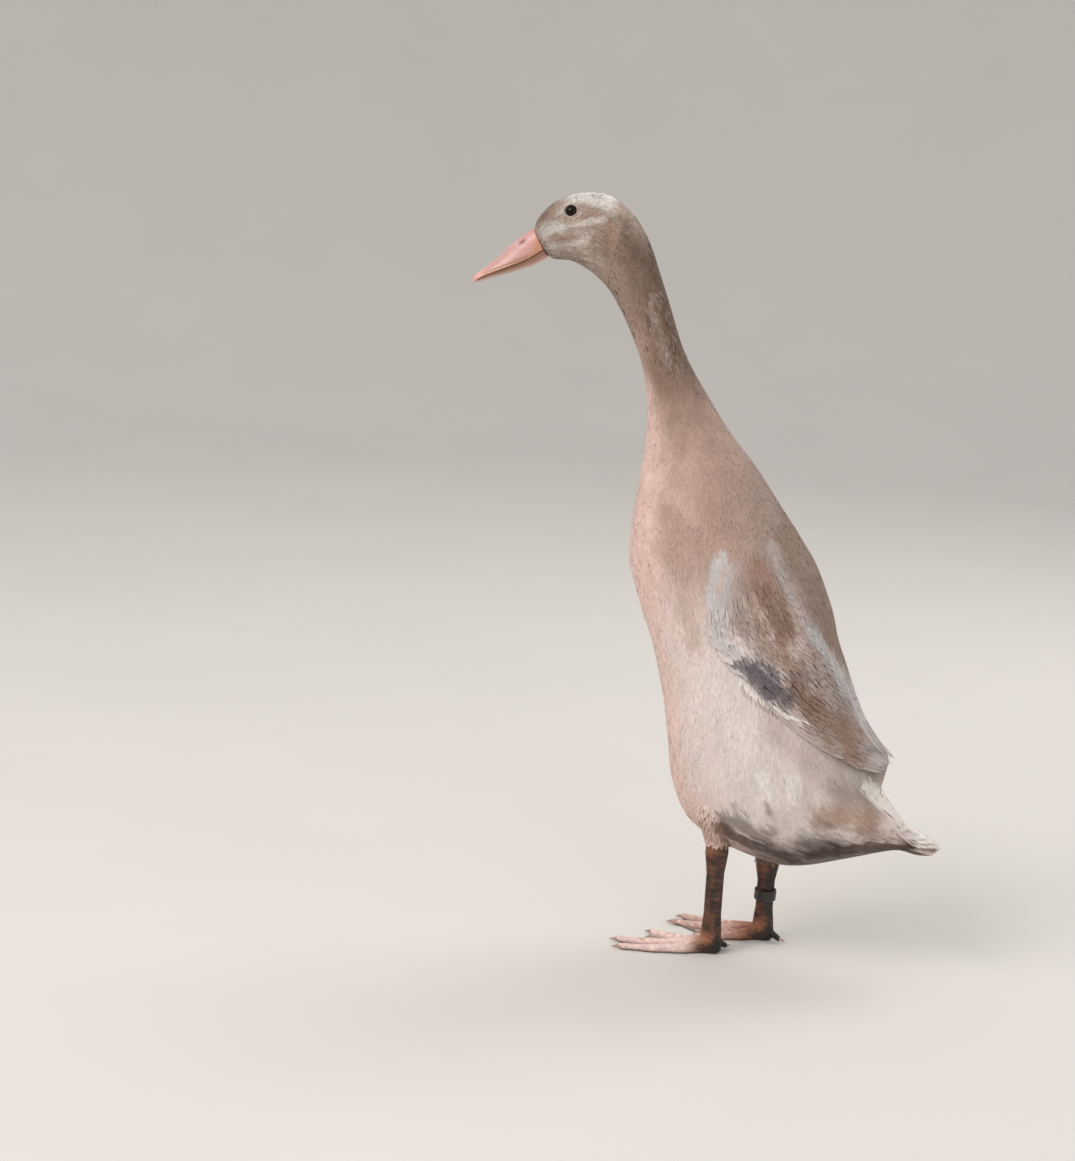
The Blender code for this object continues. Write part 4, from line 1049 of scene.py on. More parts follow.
def wing_cover_tables():
    """On a grid of stations and degrees: the share along the wing, and how far the body's
    feathers rise. They climb the wing's front, so that no edge shows there, fill the hollow
    under its rear part, stand up on the rump between the wings' ends and lie in soft folds."""
    along, across = np.meshgrid(np.linspace(0, 1, 600), np.linspace(0, 1, 400), indexing="ij")
    station, angle, lift = wing_place(along, across)
    top = WING_GAP + lift + core_thickness(along, across)
    row = np.rint(station / LAST_STATION * (COVER_ROWS - 1)).astype(int)
    column = np.rint(np.degrees(angle)).astype(int)
    share = np.full((COVER_ROWS, COVER_COLUMNS), -1.0)
    rise = np.zeros((COVER_ROWS, COVER_COLUMNS))
    share[row, column] = along
    rise[row, column] = top * ramp(along, 0.46, 0.34)
    bed = np.zeros((COVER_ROWS, COVER_COLUMNS))
    bed[row, column] = BED_RISE * ramp(along, 0.56, 0.68) + 0.85 * lift * ramp(along, 1.02, 0.9)
    bed = blurred(bed, passes=20, reach=2)
    stations = np.linspace(0, LAST_STATION, COVER_ROWS)[:, None]
    degrees = np.arange(COVER_COLUMNS)[None, :]
    edge = np.interp(stations, WING_EDGES[:, 1], WING_EDGES[:, 2])
    width = np.interp(stations, (20.5, 22.5), (9, 26))
    rump = np.interp(stations, RUMP_STATIONS, RUMP_RISE) * ramp(degrees, edge + width, edge - 1)
    spots = np.stack(np.broadcast_arrays(stations * 20.0, degrees * 1.0, 0.0 * degrees), -1)
    folds = np.interp(stations, FOLD_STATIONS, FOLD_HEIGHT) * ripple(spots, 34.0, 9)
    rise = blurred(rise, passes=12, reach=3)
    return share, np.maximum(rise, np.maximum(rump, bed)) + folds * ramp(share, 0.05, -0.6)


WING_SHARE, WING_RISE = wing_cover_tables()


def from_cover_table(table, station, angle):
    """A table's value at spots of the body, blended between the table's points."""
    station, angle = np.broadcast_arrays(station, angle)
    degrees = np.degrees(off_the_back(angle))
    u = np.clip(station / LAST_STATION, 0, 1) * (COVER_ROWS - 1)
    v = np.clip(degrees, 0, 180) / 180 * (COVER_COLUMNS - 1)
    i = np.minimum(u.astype(int), COVER_ROWS - 2)
    j = np.minimum(v.astype(int), COVER_COLUMNS - 2)
    return blended(table, i, j, j + 1, u - i, v - j)


def on_coat(station, angle, height=0.0):
    """Points at a height over the body with the wings' fronts blended into it."""
    return on_body(station, angle, height + from_cover_table(WING_RISE, station, angle))


def open_body(station, angle):
    """Whether the body's feathers grow at a spot: beside the wings and at their two ends."""
    share = from_cover_table(WING_SHARE, station, angle)
    beside = wing_cover(station, angle) < UNDER_WING_DEGREES
    return beside | (share < WING_FRONT_SHARE) | (share > WING_REAR_SHARE)


def wing_cover(station, angle):
    """How far inside the wing's outline a spot of the body lies: over 0 is under the wing."""
    degrees = np.degrees(off_the_back(angle))
    edges = natural_spline(WING_EDGES[:, 0], WING_EDGES[:, 1:], np.linspace(0, 1, 60))
    upper = np.interp(station, edges[:, 0], edges[:, 1])
    lower = np.interp(station, edges[:, 3], edges[:, 4])
    inside = np.minimum(lower - degrees, degrees - upper)
    ahead = (station - np.interp(degrees, (40, 52, 84, 96), (15.4, 15.1, 15.9, 16.4))) * 12
    return np.minimum(inside, ahead)


# Sizes that a user would change


def length_setting(millimetres, text):
    return bpy.props.FloatProperty(name=text, description=text + ", in millimetres",
                                   default=millimetres, min=0.1, max=40.0)


class DuckCoatSizes(bpy.types.PropertyGroup):
    """Sizes of the feathers"""

    face_length: length_setting(3.4, "Face feather length")
    face_width: length_setting(0.68, "Face feather half width")
    neck_length: length_setting(8.0, "Neck feather length")
    neck_width: length_setting(1.15, "Neck feather half width")
    body_length: length_setting(15.0, "Body feather length")
    body_width: length_setting(4.6, "Body feather half width")
    fringe_length: length_setting(11.0, "Body fringe length")
    fringe_width: length_setting(1.15, "Body fringe half width")
    seed: bpy.props.IntProperty(name="Seed", description="Seed of the coat's small variations",
                                default=17, min=0)


class DuckStudio(bpy.types.PropertyGroup):
    """Light and floor"""

    light_power: bpy.props.FloatProperty(name="Light", description="Power of the main light",
                                         default=36.0, min=0.0, unit="POWER")
    sky_strength: bpy.props.FloatProperty(name="Sky", description="Strength of the sky light",
                                          default=0.72, min=0.0)
    floor_colour: colour_setting(214, 210, 205, "Floor")


# Skin

LIMB_COAT_DEPTH = 1.6
PAD_ROOT_DEPTH = 5.0
# Painted shade: the skin's colour is darkened a little where it lies under the coat.
SKIN_PAINTED_SHADE = 0.95


class OBJECT_OT_duck_skin(bpy.types.Operator):
    """Makes one skin over head, neck, body, tail flesh and thighs, under the coat"""

    bl_idname = "object.duck_skin"
    bl_label = "Skin"

    def execute(self, context):
        turns = full_turn(96)
        stations = np.linspace(0, LAST_STATION, 170)[:, None]
        rings = on_coat(stations, turns[None], -coat_depth(stations))[0]
        meshes = [loft_mesh("body", rings), wing_pad(1), wing_pad(-1)]
        for leg in LEGS:
            share = np.linspace(0.02, 0.99, 24)[:, None]
            rings = on_thigh(leg, share, turns[None, ::3], -LIMB_COAT_DEPTH)[0]
            meshes.append(loft_mesh("thigh", rings))
        skin = one_skin("skin", meshes, SKIN_VOXEL)
        points = vertex_places(skin)
        station, angle = body_coordinates(points)
        # The skin takes the coat's colours, darkened by painted shade.
        paint(skin, plumage_colour(points, station, angle, HEAD_MARKS + NECK_MARKS) * SKIN_PAINTED_SHADE)
        obj = link("skin", skin, skin_material("duck skin", 0.85))
        hand_in(obj, "plumage",
                "head", "neck_upper", "neck_lower", "torso", "thigh_left", "thigh_right")
        return {"FINISHED"}


def wing_pad(side):
    """The flesh of a folded wing under its feathers, grown into the body."""
    along = np.linspace(0.06, 0.86, 60)[:, None] * np.ones((1, 30))
    across = np.linspace(0.08, 0.92, 30)[None] * np.ones((60, 1))
    top = on_wing(along, across, -LIMB_COAT_DEPTH)[0]
    station, angle, _ = wing_place(along, across)
    under = on_body(station, angle, -PAD_ROOT_DEPTH)[0]
    return loft_mesh("pad", np.concatenate([top, under[:, ::-1]], axis=1) * (side, 1, 1))


def body_coordinates(points):
    """Station and angle of the body's spot nearest to each point."""
    rows = np.arange(0, TABLE_STATIONS, 6)
    columns = np.arange(0, TABLE_ANGLES, 8)
    grid = BODY_POINTS[rows][:, columns].reshape(-1, 3)
    tree = kdtree.KDTree(len(grid))
    for i, spot in enumerate(grid.tolist()):
        tree.insert(spot, i)
    tree.balance()
    nearest = np.array([tree.find(spot)[1] for spot in points.tolist()])
    station = rows[nearest // len(columns)] / (TABLE_STATIONS - 1) * LAST_STATION
    angle = columns[nearest % len(columns)] / TABLE_ANGLES * 2 * math.pi
    return station, angle


# Coat


def eye_distance(points):
    """Distance from the nearer eye's middle."""
    return np.linalg.norm(np.abs(points) * (1, 0, 0) + points * (0, 1, 1) - EYE_PLACE, axis=-1)


EYE_CLEARANCE = 0.9
# The ruffled part of the neck, as y, z, y, z, ... along its middle line.
NECK_RUFFLE = (-110, 524, -96, 498, -88, 484)


def clear_of_eyes(station, angle):
    return eye_distance(on_body(station, angle)[0]) > EYE_RADIUS + EYE_CLEARANCE


# Layers of feathers on the body. First and last bound their stations, the steps part their
# roots along and across, low and high are the heights of roots and tips, growth gives their
# size over the stations, uneven how much their colours vary, and unwrap the stations that
# the bake map spans. Lengths are in millimetres.
HEAD_LAYER = SimpleNamespace(
    name="coat_head", form=DOWN, length="face_length", width="face_width", surface=on_body,
    keep=clear_of_eyes, first=0.05, last=5.2, row_step=1.15, side_step=0.95, low=-0.55, high=0.12,
    growth=((0, 1.0, 3.0, 5.2), (0.55, 0.8, 1.0, 1.4)), least_width=0.0, swirl=0.2,
    marks=HEAD_MARKS, uneven=0.10, root_shade=0.93, unwrap=(0, 5.4), ruffled=False,
)
NECK_LAYER = SimpleNamespace(
    name="coat_neck", form=LOCK, length="neck_length", width="neck_width", surface=on_body,
    keep=None, first=4.9, last=14.8, row_step=2.1, side_step=1.6, low=-0.65, high=0.1,
    growth=((4.9, 7, 11, 14.6), (0.72, 0.88, 1.0, 1.25)), least_width=0.0, swirl=0.14,
    marks=HEAD_MARKS + NECK_MARKS, uneven=0.05, root_shade=0.95, unwrap=(4.7, 15), ruffled=True,
)
BODY = {
    "surface": on_coat, "keep": open_body, "least_width": 0.9, "swirl": 0.08,
    "growth": ((13.6, 15.5, 20, 25, 31), (0.62, 0.85, 1.0, 0.95, 0.55)), "marks": WING_MARKS,
    "uneven": 0.04, "root_shade": 0.9, "unwrap": (13.4, 32.2), "ruffled": False,
}
FRINGE = {
    "form": LOCK, "length": "fringe_length", "width": "fringe_width", "row_step": 2.3,
    "side_step": 2.0, "low": -0.4, "high": 0.3,
}
BODY_LAYERS = (
    SimpleNamespace(name="coat_body", form=LEAF, length="body_length", width="body_width",
                    row_step=5.4, side_step=5.2, low=-1.2, high=-0.1, first=13.6, last=31.0, **BODY),
    SimpleNamespace(name="coat_fringe_front", first=13.6, last=21.0, **FRINGE, **BODY),
    SimpleNamespace(name="coat_fringe_rear", first=21.0, last=31.4, **FRINGE, **BODY),
)


def cover(layer, material, sizes, random):
    """Lays one layer of feathers on the body as a coat piece."""
    station, angle = scatter_on_body(layer.first, layer.last, layer.row_step, layer.side_step,
                                     random, layer.keep)
    count = len(station)
    grow = np.interp(station, *layer.growth)
    ruffle = neck_ruffle(station, angle) if layer.ruffled else np.zeros(count)
    grow = grow * (1 + 0.8 * ruffle)
    length, width = getattr(sizes, layer.length), getattr(sizes, layer.width)
    places = body_places(station, angle, length * grow, width * np.maximum(grow, layer.least_width),
                         layer.low, layer.high + 0.8 * ruffle, random, layer.swirl)
    if layer.ruffled:
        places["dv"] = places["dv"] + ruffle * random.normal(0, 0.12, count)
    laid = lay_feathers(layer.surface, layer.form, random, places)
    middles = laid[0][:, -2, layer.form.columns // 2]
    colours = plumage_colour(middles, station, angle, layer.marks)
    colours *= random.normal(1, layer.uneven, count)[:, None]
    if layer.ruffled:
        colours = ruffled_colours(colours, ruffle, random)
    first, last = layer.unwrap
    roots = np.stack([angle / (2 * math.pi) % 1.0, (station - first) / (last - first)], -1)
    coat = Coat(layer.name, material)
    coat.add(laid, layer.form, colours, roots, root_shade=layer.root_shade)
    coat.finish("plumage")


def neck_ruffle(station, angle):
    """How ruffled the neck is, from 0 to 1: along its bend, on both sides of the nape."""
    points = on_body(station, angle)[0]
    ruffle = ramp(distance_to_line(points[:, 1:], NECK_RUFFLE), 20, 2)
    return ruffle * ramp(off_the_back(angle), 0.2, 0.8)


def ruffled_colours(colours, ruffle, random):
    """Some of the ruffled feathers turn paler and some darker than their neighbours."""
    shades = bpy.context.scene.duck_plumage
    chance = random.uniform(size=len(ruffle))
    for shade, low, high in ((shades.back, 0.0, 0.25), (shades.nape, 0.25, 0.6)):
        share = ruffle * 0.4 * ((chance >= low) & (chance < high))
        colours = mixed(colours, shade, share[:, None])
    return colours


class OBJECT_OT_duck_head_coat(bpy.types.Operator):
    """Lays the very small feathers of the head"""

    bl_idname = "object.duck_head_coat"
    bl_label = "Head Coat"

    def execute(self, context):
        sizes = context.scene.duck_coat
        material = feather_material("head feathers", 0.8, barb_count=3, barb_strength=0.1)
        cover(HEAD_LAYER, material, sizes, np.random.default_rng(sizes.seed))
        return {"FINISHED"}


class OBJECT_OT_duck_neck_coat(bpy.types.Operator):
    """Lays the narrow feathers of the neck, ruffled where the neck bends"""

    bl_idname = "object.duck_neck_coat"
    bl_label = "Neck Coat"

    def execute(self, context):
        sizes = context.scene.duck_coat
        material = feather_material("neck feathers", 0.8, barb_count=5, barb_strength=0.15)
        cover(NECK_LAYER, material, sizes, np.random.default_rng(sizes.seed + 1))
        return {"FINISHED"}


class OBJECT_OT_duck_body_coat(bpy.types.Operator):
    """Lays the broad feathers of breast, back, flanks and belly, and their loose fringes"""

    bl_idname = "object.duck_body_coat"
    bl_label = "Body Coat"

    def execute(self, context):
        sizes = context.scene.duck_coat
        random = np.random.default_rng(sizes.seed + 2)
        material = feather_material("body feathers", 0.82, barb_count=14, barb_strength=0.12)
        for layer in BODY_LAYERS:
            cover(layer, material, sizes, random)
        return {"FINISHED"}


# The thighs' feathers: the part of the thigh's height that they cover, the steps between
# their roots, their shortest and longest, half width and how raggedly they end.
THIGH_COVERED = 0.72
THIGH_ROW_STEP = 2.4
THIGH_SIDE_STEP = 2.0
THIGH_LENGTHS = (7.5, 10.5)
THIGH_HALF_WIDTH = 1.3
THIGH_RAGGED = (1.0, 6.0)


class OBJECT_OT_duck_thigh_coat(bpy.types.Operator):
    """Lays the loose feathers of the thighs down to the shanks"""

    bl_idname = "object.duck_thigh_coat"
    bl_label = "Thigh Coat"

    def execute(self, context):
        sizes = context.scene.duck_coat
        random = np.random.default_rng(sizes.seed + 3)
        coat = Coat("coat_thighs", feather_material("thigh feathers", 0.85, 6, 0.12))
        shades = context.scene.duck_plumage
        for leg, (side, _, _, _, _, bottom_z) in LEGS.items():
            height = THIGH_TOP_Z - bottom_z
            share, turn = scatter_on_thigh(height, random)
            count = len(share)
            length = random.uniform(*THIGH_LENGTHS, count)
            end = (1 - share) * height + random.uniform(*THIGH_RAGGED, count)
            places = {
                "u": share, "v": turn, "du": np.minimum(length, end) / height,
                "dv": random.normal(0, 0.05, count), "half_u": 0.0,
                "half_v": THIGH_HALF_WIDTH / (np.add(*thigh_sizes(share)) / 2),
                "low": -1.9, "high": random.uniform(0.0, 0.9, count),
                "tilt": random.normal(0, 0.1, count), "bend": random.normal(0, 0.3, count),
                "wide": THIGH_HALF_WIDTH,
            }
            laid = lay_feathers(lambda u, v, h: on_thigh(leg, u, v, h), LOCK, random, places)
            middles = laid[0][:, 2, 1]
            colours = plumage_colour(middles, *body_coordinates(middles))
            low = (ramp(share, 0.3, 0.7) * ramp(share, 1.05, 0.8))[:, None] * 0.55
            colours = mixed(colours, np.array(shades.tan) * 0.92, low)
            # The lower rear of each thigh is darker: mud and painted shade in the hollow behind the
            # leg.
            rear = ramp(np.sin(turn) + random.uniform(-0.5, 0.5, count), 0.0, 1.0)
            stained_and_shaded = (ramp(share, 0.35, 0.8) * rear)[:, None] * 0.7
            colours = mixed(colours, np.array(shades.mud_and_shade) * 1.4, stained_and_shaded)
            colours *= random.normal(1, 0.07, count)[:, None]
            shift = 0.25 + 0.5 * (side < 0)
            coat.add(laid, LOCK, colours, np.stack([shift + 0.2 * np.sin(turn / 2), share], -1))
        coat.finish("plumage")
        return {"FINISHED"}


def scatter_on_thigh(height, random):
    """Staggered rows of spots round a thigh, as shares of its height and turns."""
    rows = int(height * THIGH_COVERED / THIGH_ROW_STEP)
    share, turn = [], []
    for row in range(rows):
        at = 0.30 + 0.70 * (row + 0.5) / rows
        count = int(math.pi * np.add(*thigh_sizes(at)) / THIGH_SIDE_STEP)
        share.append(np.full(count, at) + random.uniform(-0.01, 0.01, count))
        turn.append((np.arange(count) + 0.5 * (row % 2)) / count * 2 * math.pi)
    return np.concatenate(share), np.concatenate(turn)


# Wings and tail

# Coverts: where their first row has its roots along the wing, the step to the next row,
# the number of rows, the feathers in a row, and their length along the wing.
COVERT_START = 0.20
COVERT_STEP = 0.026
COVERT_ROWS = 8
COVERT_COUNT = 17
COVERT_LENGTH = 0.075
# Long feathers: count, root, upper tip, lower tip, first and last across, upper and lower rise.
FLIGHT_ROWS = (
    (13, 0.33, 0.56, 0.50, 0.05, 0.95, 1.5, 1.1),
    (11, 0.50, 0.98, 0.88, 0.06, 0.95, 1.6, 0.7),
    (7, 0.70, 1.00, 0.97, 0.14, 0.88, 1.1, 0.5),
)
# Half width of each feather of wing and tail, in steps from one to the next.
OVERLAP = 0.95
# Rows of fine strands on the wing: first, last and step along, and how many lie across.
STRAND_ROWS = (0.20, 0.88, 0.0125)
STRANDS_ACROSS = 26


class OBJECT_OT_duck_wings(bpy.types.Operator):
    """Lays the flight feathers and their coverts, row over row, on both folded wings"""

    bl_idname = "object.duck_wings"
    bl_label = "Wings"

    def execute(self, context):
        material = feather_material("wing feathers", 0.75, 34, 0.2)
        for name, side in (("left", 1), ("right", -1)):
            random = np.random.default_rng(context.scene.duck_coat.seed + 4)
            coat = Coat("wing_feathers_" + name, material)
            for row in reversed(FLIGHT_ROWS):
                add_flight_row(coat, row, random, side)
            for row in reversed(range(COVERT_ROWS)):
                add_covert_row(coat, row, random, side)
            add_wing_strands(coat, context.scene.duck_coat, random, side)
            coat.finish("wing_plumage", "wing_" + name)
        return {"FINISHED"}


def colours_on_wing(points, along, across):
    station, angle, _ = wing_place(np.asarray(along, float), np.asarray(across, float))
    return plumage_colour(points, station, angle, WING_MARKS)


def add_flight_row(coat, row, random, side):
    """One row of long feathers from the wing's upper edge to its lower one."""
    count, root, upper_tip, lower_tip, first, last, upper_rise, lower_rise = row
    share = np.linspace(0, 1, count)
    across = first + (last - first) * share
    pitch = (last - first) / (count - 1)
    reach = upper_tip + (lower_tip - upper_tip) * share**0.6 - root
    places = {
        "u": np.full(count, root), "v": across, "du": reach,
        "dv": random.normal(0, 0.05, count) * pitch, "half_u": 0.0, "half_v": OVERLAP * pitch,
        "low": -1.3, "high": upper_rise + (lower_rise - upper_rise) * share, "tilt": 0.25,
        "bend": random.normal(0, 0.06, count), "wide": 6.0,
    }
    laid = lay_feathers(on_wing, VANE, random, places)
    along = root + laid[2] * reach[:, None, None]
    colours = colours_on_wing(laid[0], along, np.broadcast_to(across[:, None, None], along.shape))
    colours = colours.reshape(laid[0].shape) * random.normal(1, 0.035, count)[:, None, None, None]
    bake = np.stack([across, np.full(count, root)], -1)
    coat.add(laid, VANE, colours, bake, side, root_shade=0.8, tip_shade=1.05)


def add_covert_row(coat, row, random, side):
    """One row of coverts, set half a feather aside from the row before."""
    root = COVERT_START + COVERT_STEP * row
    count = COVERT_COUNT
    shifted = round(root / COVERT_STEP) % 2
    across = 0.02 + 0.98 * (np.arange(count) + 0.5 * shifted) / (count - 0.5)
    places = {
        "u": np.full(count, root) + random.normal(0, 0.004, count), "v": across,
        "du": COVERT_LENGTH * random.uniform(0.9, 1.1, count),
        "dv": random.normal(0, 0.25, count) / count, "half_u": 0.0, "half_v": OVERLAP / count,
        "low": -1.0, "high": random.uniform(1.2, 1.5, count), "tilt": 0.1,
        "bend": random.normal(0, 0.12, count), "wide": 4.0,
    }
    laid = lay_feathers(on_wing, LEAF, random, places)
    colours = colours_on_wing(laid[0][:, -2, 2], places["u"] + 0.8 * places["du"], across)
    colours *= random.normal(1, 0.035, count)[:, None]
    bake = np.stack([across, places["u"]], -1)
    coat.add(laid, LEAF, colours, bake, side, root_shade=0.85)


def add_wing_strands(coat, sizes, random, side):
    """Fine loose strands over the coverts, fewer and fewer over the long feathers."""
    spots = (np.arange(STRANDS_ACROSS) + 0.5) / STRANDS_ACROSS
    along, across = np.meshgrid(np.arange(*STRAND_ROWS), spots, indexing="ij")
    along = along.ravel() + random.uniform(-0.006, 0.006, along.size)
    across = across.ravel() + random.uniform(-0.02, 0.02, across.size)
    kept = random.uniform(size=along.size) < np.interp(along, (0.45, 0.70, 0.94), (1, 0.7, 0.25))
    kept &= (across > 0.02) & (across < 0.985)
    along, across = along[kept], across[kept]
    count = len(along)
    length, width = surface_scale(on_wing, along, across, 0.01, 0.01)
    length, width = np.maximum(length, 20.0), np.maximum(width, 8.0)
    turn = random.normal(0, 0.07, count)
    reach = sizes.fringe_length * random.uniform(0.8, 1.15, count)
    rise = np.interp(along, (0.6, 0.95), (2.1, 1.5))
    places = {
        "u": along, "v": across, "du": reach * np.cos(turn) / length,
        "dv": reach * np.sin(turn) / width, "half_u": 0.0, "half_v": sizes.fringe_width / width,
        "low": 0.0, "high": rise * random.uniform(0.9, 1.1, count), "tilt": 0.0,
        "bend": random.normal(0, 0.25, count), "wide": sizes.fringe_width,
    }
    laid = lay_feathers(on_wing, LOCK, random, places)
    colours = colours_on_wing(laid[0][:, 2, 1], along + 0.75 * places["du"], across)
    colours *= random.normal(1, 0.02, count)[:, None]
    coat.add(laid, LOCK, colours, np.stack([across, along], -1), side, root_shade=0.95)


# Fans of the tail, from its lowest up: count, root, middle and outer tip, heights of root and
# tip, and form.
TAIL_FANS = (
    (14, 0.0, 1.0, 0.50, -1.0, -0.6, VANE),
    (13, -0.10, 0.88, 0.42, -0.6, -0.1, VANE),
    (13, -0.20, 0.74, 0.34, -0.6, 0.3, VANE),
    (13, -0.32, 0.60, 0.28, -0.6, 0.7, LEAF),
    (15, -0.46, 0.45, 0.20, -0.6, 1.0, LEAF),
)
TAIL_STATION = 29.0


class OBJECT_OT_duck_tail(bpy.types.Operator):
    """Lays the tail's fan of feathers and the coverts over its root"""

    bl_idname = "object.duck_tail"
    bl_label = "Tail"

    def execute(self, context):
        random = np.random.default_rng(context.scene.duck_coat.seed + 5)
        coat = Coat("tail_feathers", feather_material("tail feathers", 0.75, 30, 0.2))
        for fan in TAIL_FANS:
            add_tail_fan(coat, fan, random)
        coat.finish("wing_plumage", "tail")
        return {"FINISHED"}


def add_tail_fan(coat, fan, random):
    """One fan of tail feathers, the middle ones longest and lying on top."""
    count, root, middle_tip, outer_tip, low, high, form = fan
    place = (np.arange(count) + 0.5) / count * 2 - 1
    order = 1 - np.abs(place)
    pitch = 2 / count
    places = {
        "u": np.full(count, root), "v": place * 0.93,
        "du": outer_tip + (middle_tip - outer_tip) * order**0.7 - root,
        "dv": random.normal(0, 0.1, count) * pitch, "half_u": 0.0, "half_v": OVERLAP * pitch,
        "low": low, "high": high + order, "tilt": 0.2 * np.sign(place),
        "bend": random.normal(0, 0.05, count), "wide": 4.0,
    }
    laid = lay_feathers(on_tail, form, random, places)
    points = laid[0]
    station = np.full(points.shape[:3], TAIL_STATION)
    colours = plumage_colour(points, station, np.abs(points[..., 0]) / 30)
    outer = ramp(np.abs(points[..., 0]), 12, 24)[..., None] * 0.3
    colours = mixed(colours.reshape(points.shape), bpy.context.scene.duck_plumage.tan, outer)
    colours = colours * random.normal(1, 0.03, count)[:, None, None, None]
    bake = np.stack([place / 2 + 0.5, np.full(count, 0.4 + root)], -1)
    coat.add(laid, form, colours, bake, root_shade=0.8, tip_shade=1.05)


# Bill


def bill_place(along, height, x):
    """A point of the bill, from its own slope, in the bird's frame."""
    y = BILL_ROOT[0] - math.cos(BILL_SLOPE) * along - math.sin(BILL_SLOPE) * height
    z = BILL_ROOT[1] - math.sin(BILL_SLOPE) * along + math.cos(BILL_SLOPE) * height
    return np.stack(np.broadcast_arrays(x, y, z), axis=-1)


def upper_bill():
    """Rings of the upper bill with nostrils, a lip along the mouth and the nail, and colours."""
    horn = bpy.context.scene.duck_horn
    places = np.concatenate([np.linspace(0, 56, 150), np.linspace(56.4, 65, 30)])
    stations = natural_spline(BILL_STATIONS[:, 0], BILL_STATIONS, places)
    along, ridge, mouth, half_width, roundness = (c[:, None] for c in stations.T)
    half_width = np.maximum(half_width, 0.6)
    turn = np.linspace(0, math.pi, 61)[None]
    x = half_width * signed_power(np.cos(turn), 2 / roundness)
    rise = np.abs(np.sin(turn)) ** (2 / roundness)
    height = mouth + (ridge - mouth) * rise
    out_x = np.cos(turn) * np.ones_like(x)
    out_h = np.sin(turn) * np.ones_like(x)
    nostril = ((along - NOSTRIL_ALONG) / NOSTRIL_SIZE[0]) ** 2
    nostril = nostril + ((height - NOSTRIL_HEIGHT) / NOSTRIL_SIZE[1]) ** 2
    pit = np.exp(-nostril * 1.1)
    rim = np.exp(-((np.sqrt(nostril) - 1.35) ** 2) * 6)
    over_mouth = height - mouth
    lip = np.exp(-((over_mouth - LIP_HEIGHT) / LIP_REACH) ** 2)
    lip = lip * ramp(along, 2, 8) * ramp(along, 62, 56)
    comb = np.sin(along * 2 * math.pi / COMB_PITCH) * ramp(over_mouth, 1.5, 0.4)
    comb = comb * ramp(along, 54, 46) * ramp(along, 4, 12)
    nail = np.hypot((along - NAIL_ALONG) / NAIL_SIZE[0], x / NAIL_SIZE[1])
    nail = ramp(nail, 1.15, 0.85) * ramp(out_h, 0.1, 0.5)
    push = -NOSTRIL_DEPTH * pit + NOSTRIL_RIM * rim - LIP_DEPTH * lip
    push = push + COMB_DEPTH * comb + NAIL_RISE * nail
    x, height = x + out_x * push, height + out_h * push
    lower_turn = np.linspace(1, -1, 33)[None, 1:-1]
    low_x = -half_width * lower_turn * 0.985
    vault = 1.2 * (1 - lower_turn**2) * ramp(along, 62, 40)
    low_height = mouth + vault
    ring_x = np.concatenate([x, low_x], axis=1)
    ring_height = np.concatenate([height, np.broadcast_to(low_height, low_x.shape)], axis=1)
    points = bill_place(np.broadcast_to(along, ring_x.shape), ring_height, ring_x)
    pink, tan, shade = (np.array(c) for c in (horn.bill_pink, horn.bill_tan, horn.bill_painted_shade))
    colours = np.tile(pink, points.shape[:2] + (1,))

    def blend(colour, share):
        share = np.concatenate([share, np.full((len(places), 31), 0.6)], axis=1)[..., None]
        colours[:] = mixed(colours, colour, share)

    blend(tan, np.clip(ramp(over_mouth, 5.5, 0.5) * 0.75 + ramp(along, 46, 63) * 0.8, 0, 0.95))
    blend(tan * (1.3, 1.2, 1.1), ramp(along + 0.5 * over_mouth, 14, 5) * 0.75)
    # Painted shade in the nostril pits and along the lip's groove.
    blend(shade, np.clip(ramp(pit, 0.25, 0.8) * 0.9 + lip * 0.35, 0, 1))
    pale = pink * (1.1, 1.16, 1.2)
    # Painted highlight: the top of the bill is paler along its middle length.
    blend(pale, ramp(out_h, 0.55, 1.0) * 0.6 * ramp(along, 62, 40) * ramp(along, 8, 18))
    blend(pale * (1.25, 1.2, 1.1), ramp(along + 0.4 * height, 48, 57) * 0.9)
    return points, np.clip(colours, 0, 1)


def lower_bill():
    """Rings of the lower bill, hollow above and with a groove along each side, and colours."""
    horn = bpy.context.scene.duck_horn
    places = np.linspace(0, LOWER_BILL_LENGTH, 110)
    stations = natural_spline(BILL_STATIONS[:, 0], BILL_STATIONS, places)
    depth = np.interp(places, np.linspace(0, LOWER_BILL_LENGTH, len(LOWER_BILL_DEPTH)),
                      LOWER_BILL_DEPTH)[:, None]
    along, mouth, half_width = places[:, None], stations[:, 2:3], stations[:, 3:4]
    inner = np.maximum(half_width - LOWER_BILL_INSET, 0.5)
    turn = full_turn(56)[None]
    under = np.minimum(np.sin(turn), 0)
    hollow = -0.8 * np.maximum(np.sin(turn), 0) * ramp(along, 60, 50)
    groove = np.exp(-((np.abs(np.sin(turn)) - 0.35) / 0.12) ** 2) * (np.sin(turn) < 0)
    height = mouth - MOUTH_GAP + signed_power(under, 0.85) * depth + hollow
    x = (inner - 0.28 * groove * ramp(along, 3, 8)) * signed_power(np.cos(turn), 0.8)
    points = bill_place(np.broadcast_to(along, x.shape), height, x)
    share = np.broadcast_to(ramp(-under, 0.1, 0.9), x.shape)[..., None]
    tan, pink = np.array(horn.bill_tan), np.array(horn.bill_pink)
    colours = mixed(0.85 * tan, 0.55 * pink + 0.42 * tan, share)
    # Painted shade in the groove along each side.
    colours = colours * (1 - 0.25 * groove[..., None] * np.ones_like(share))
    return points, np.clip(colours, 0, 1)


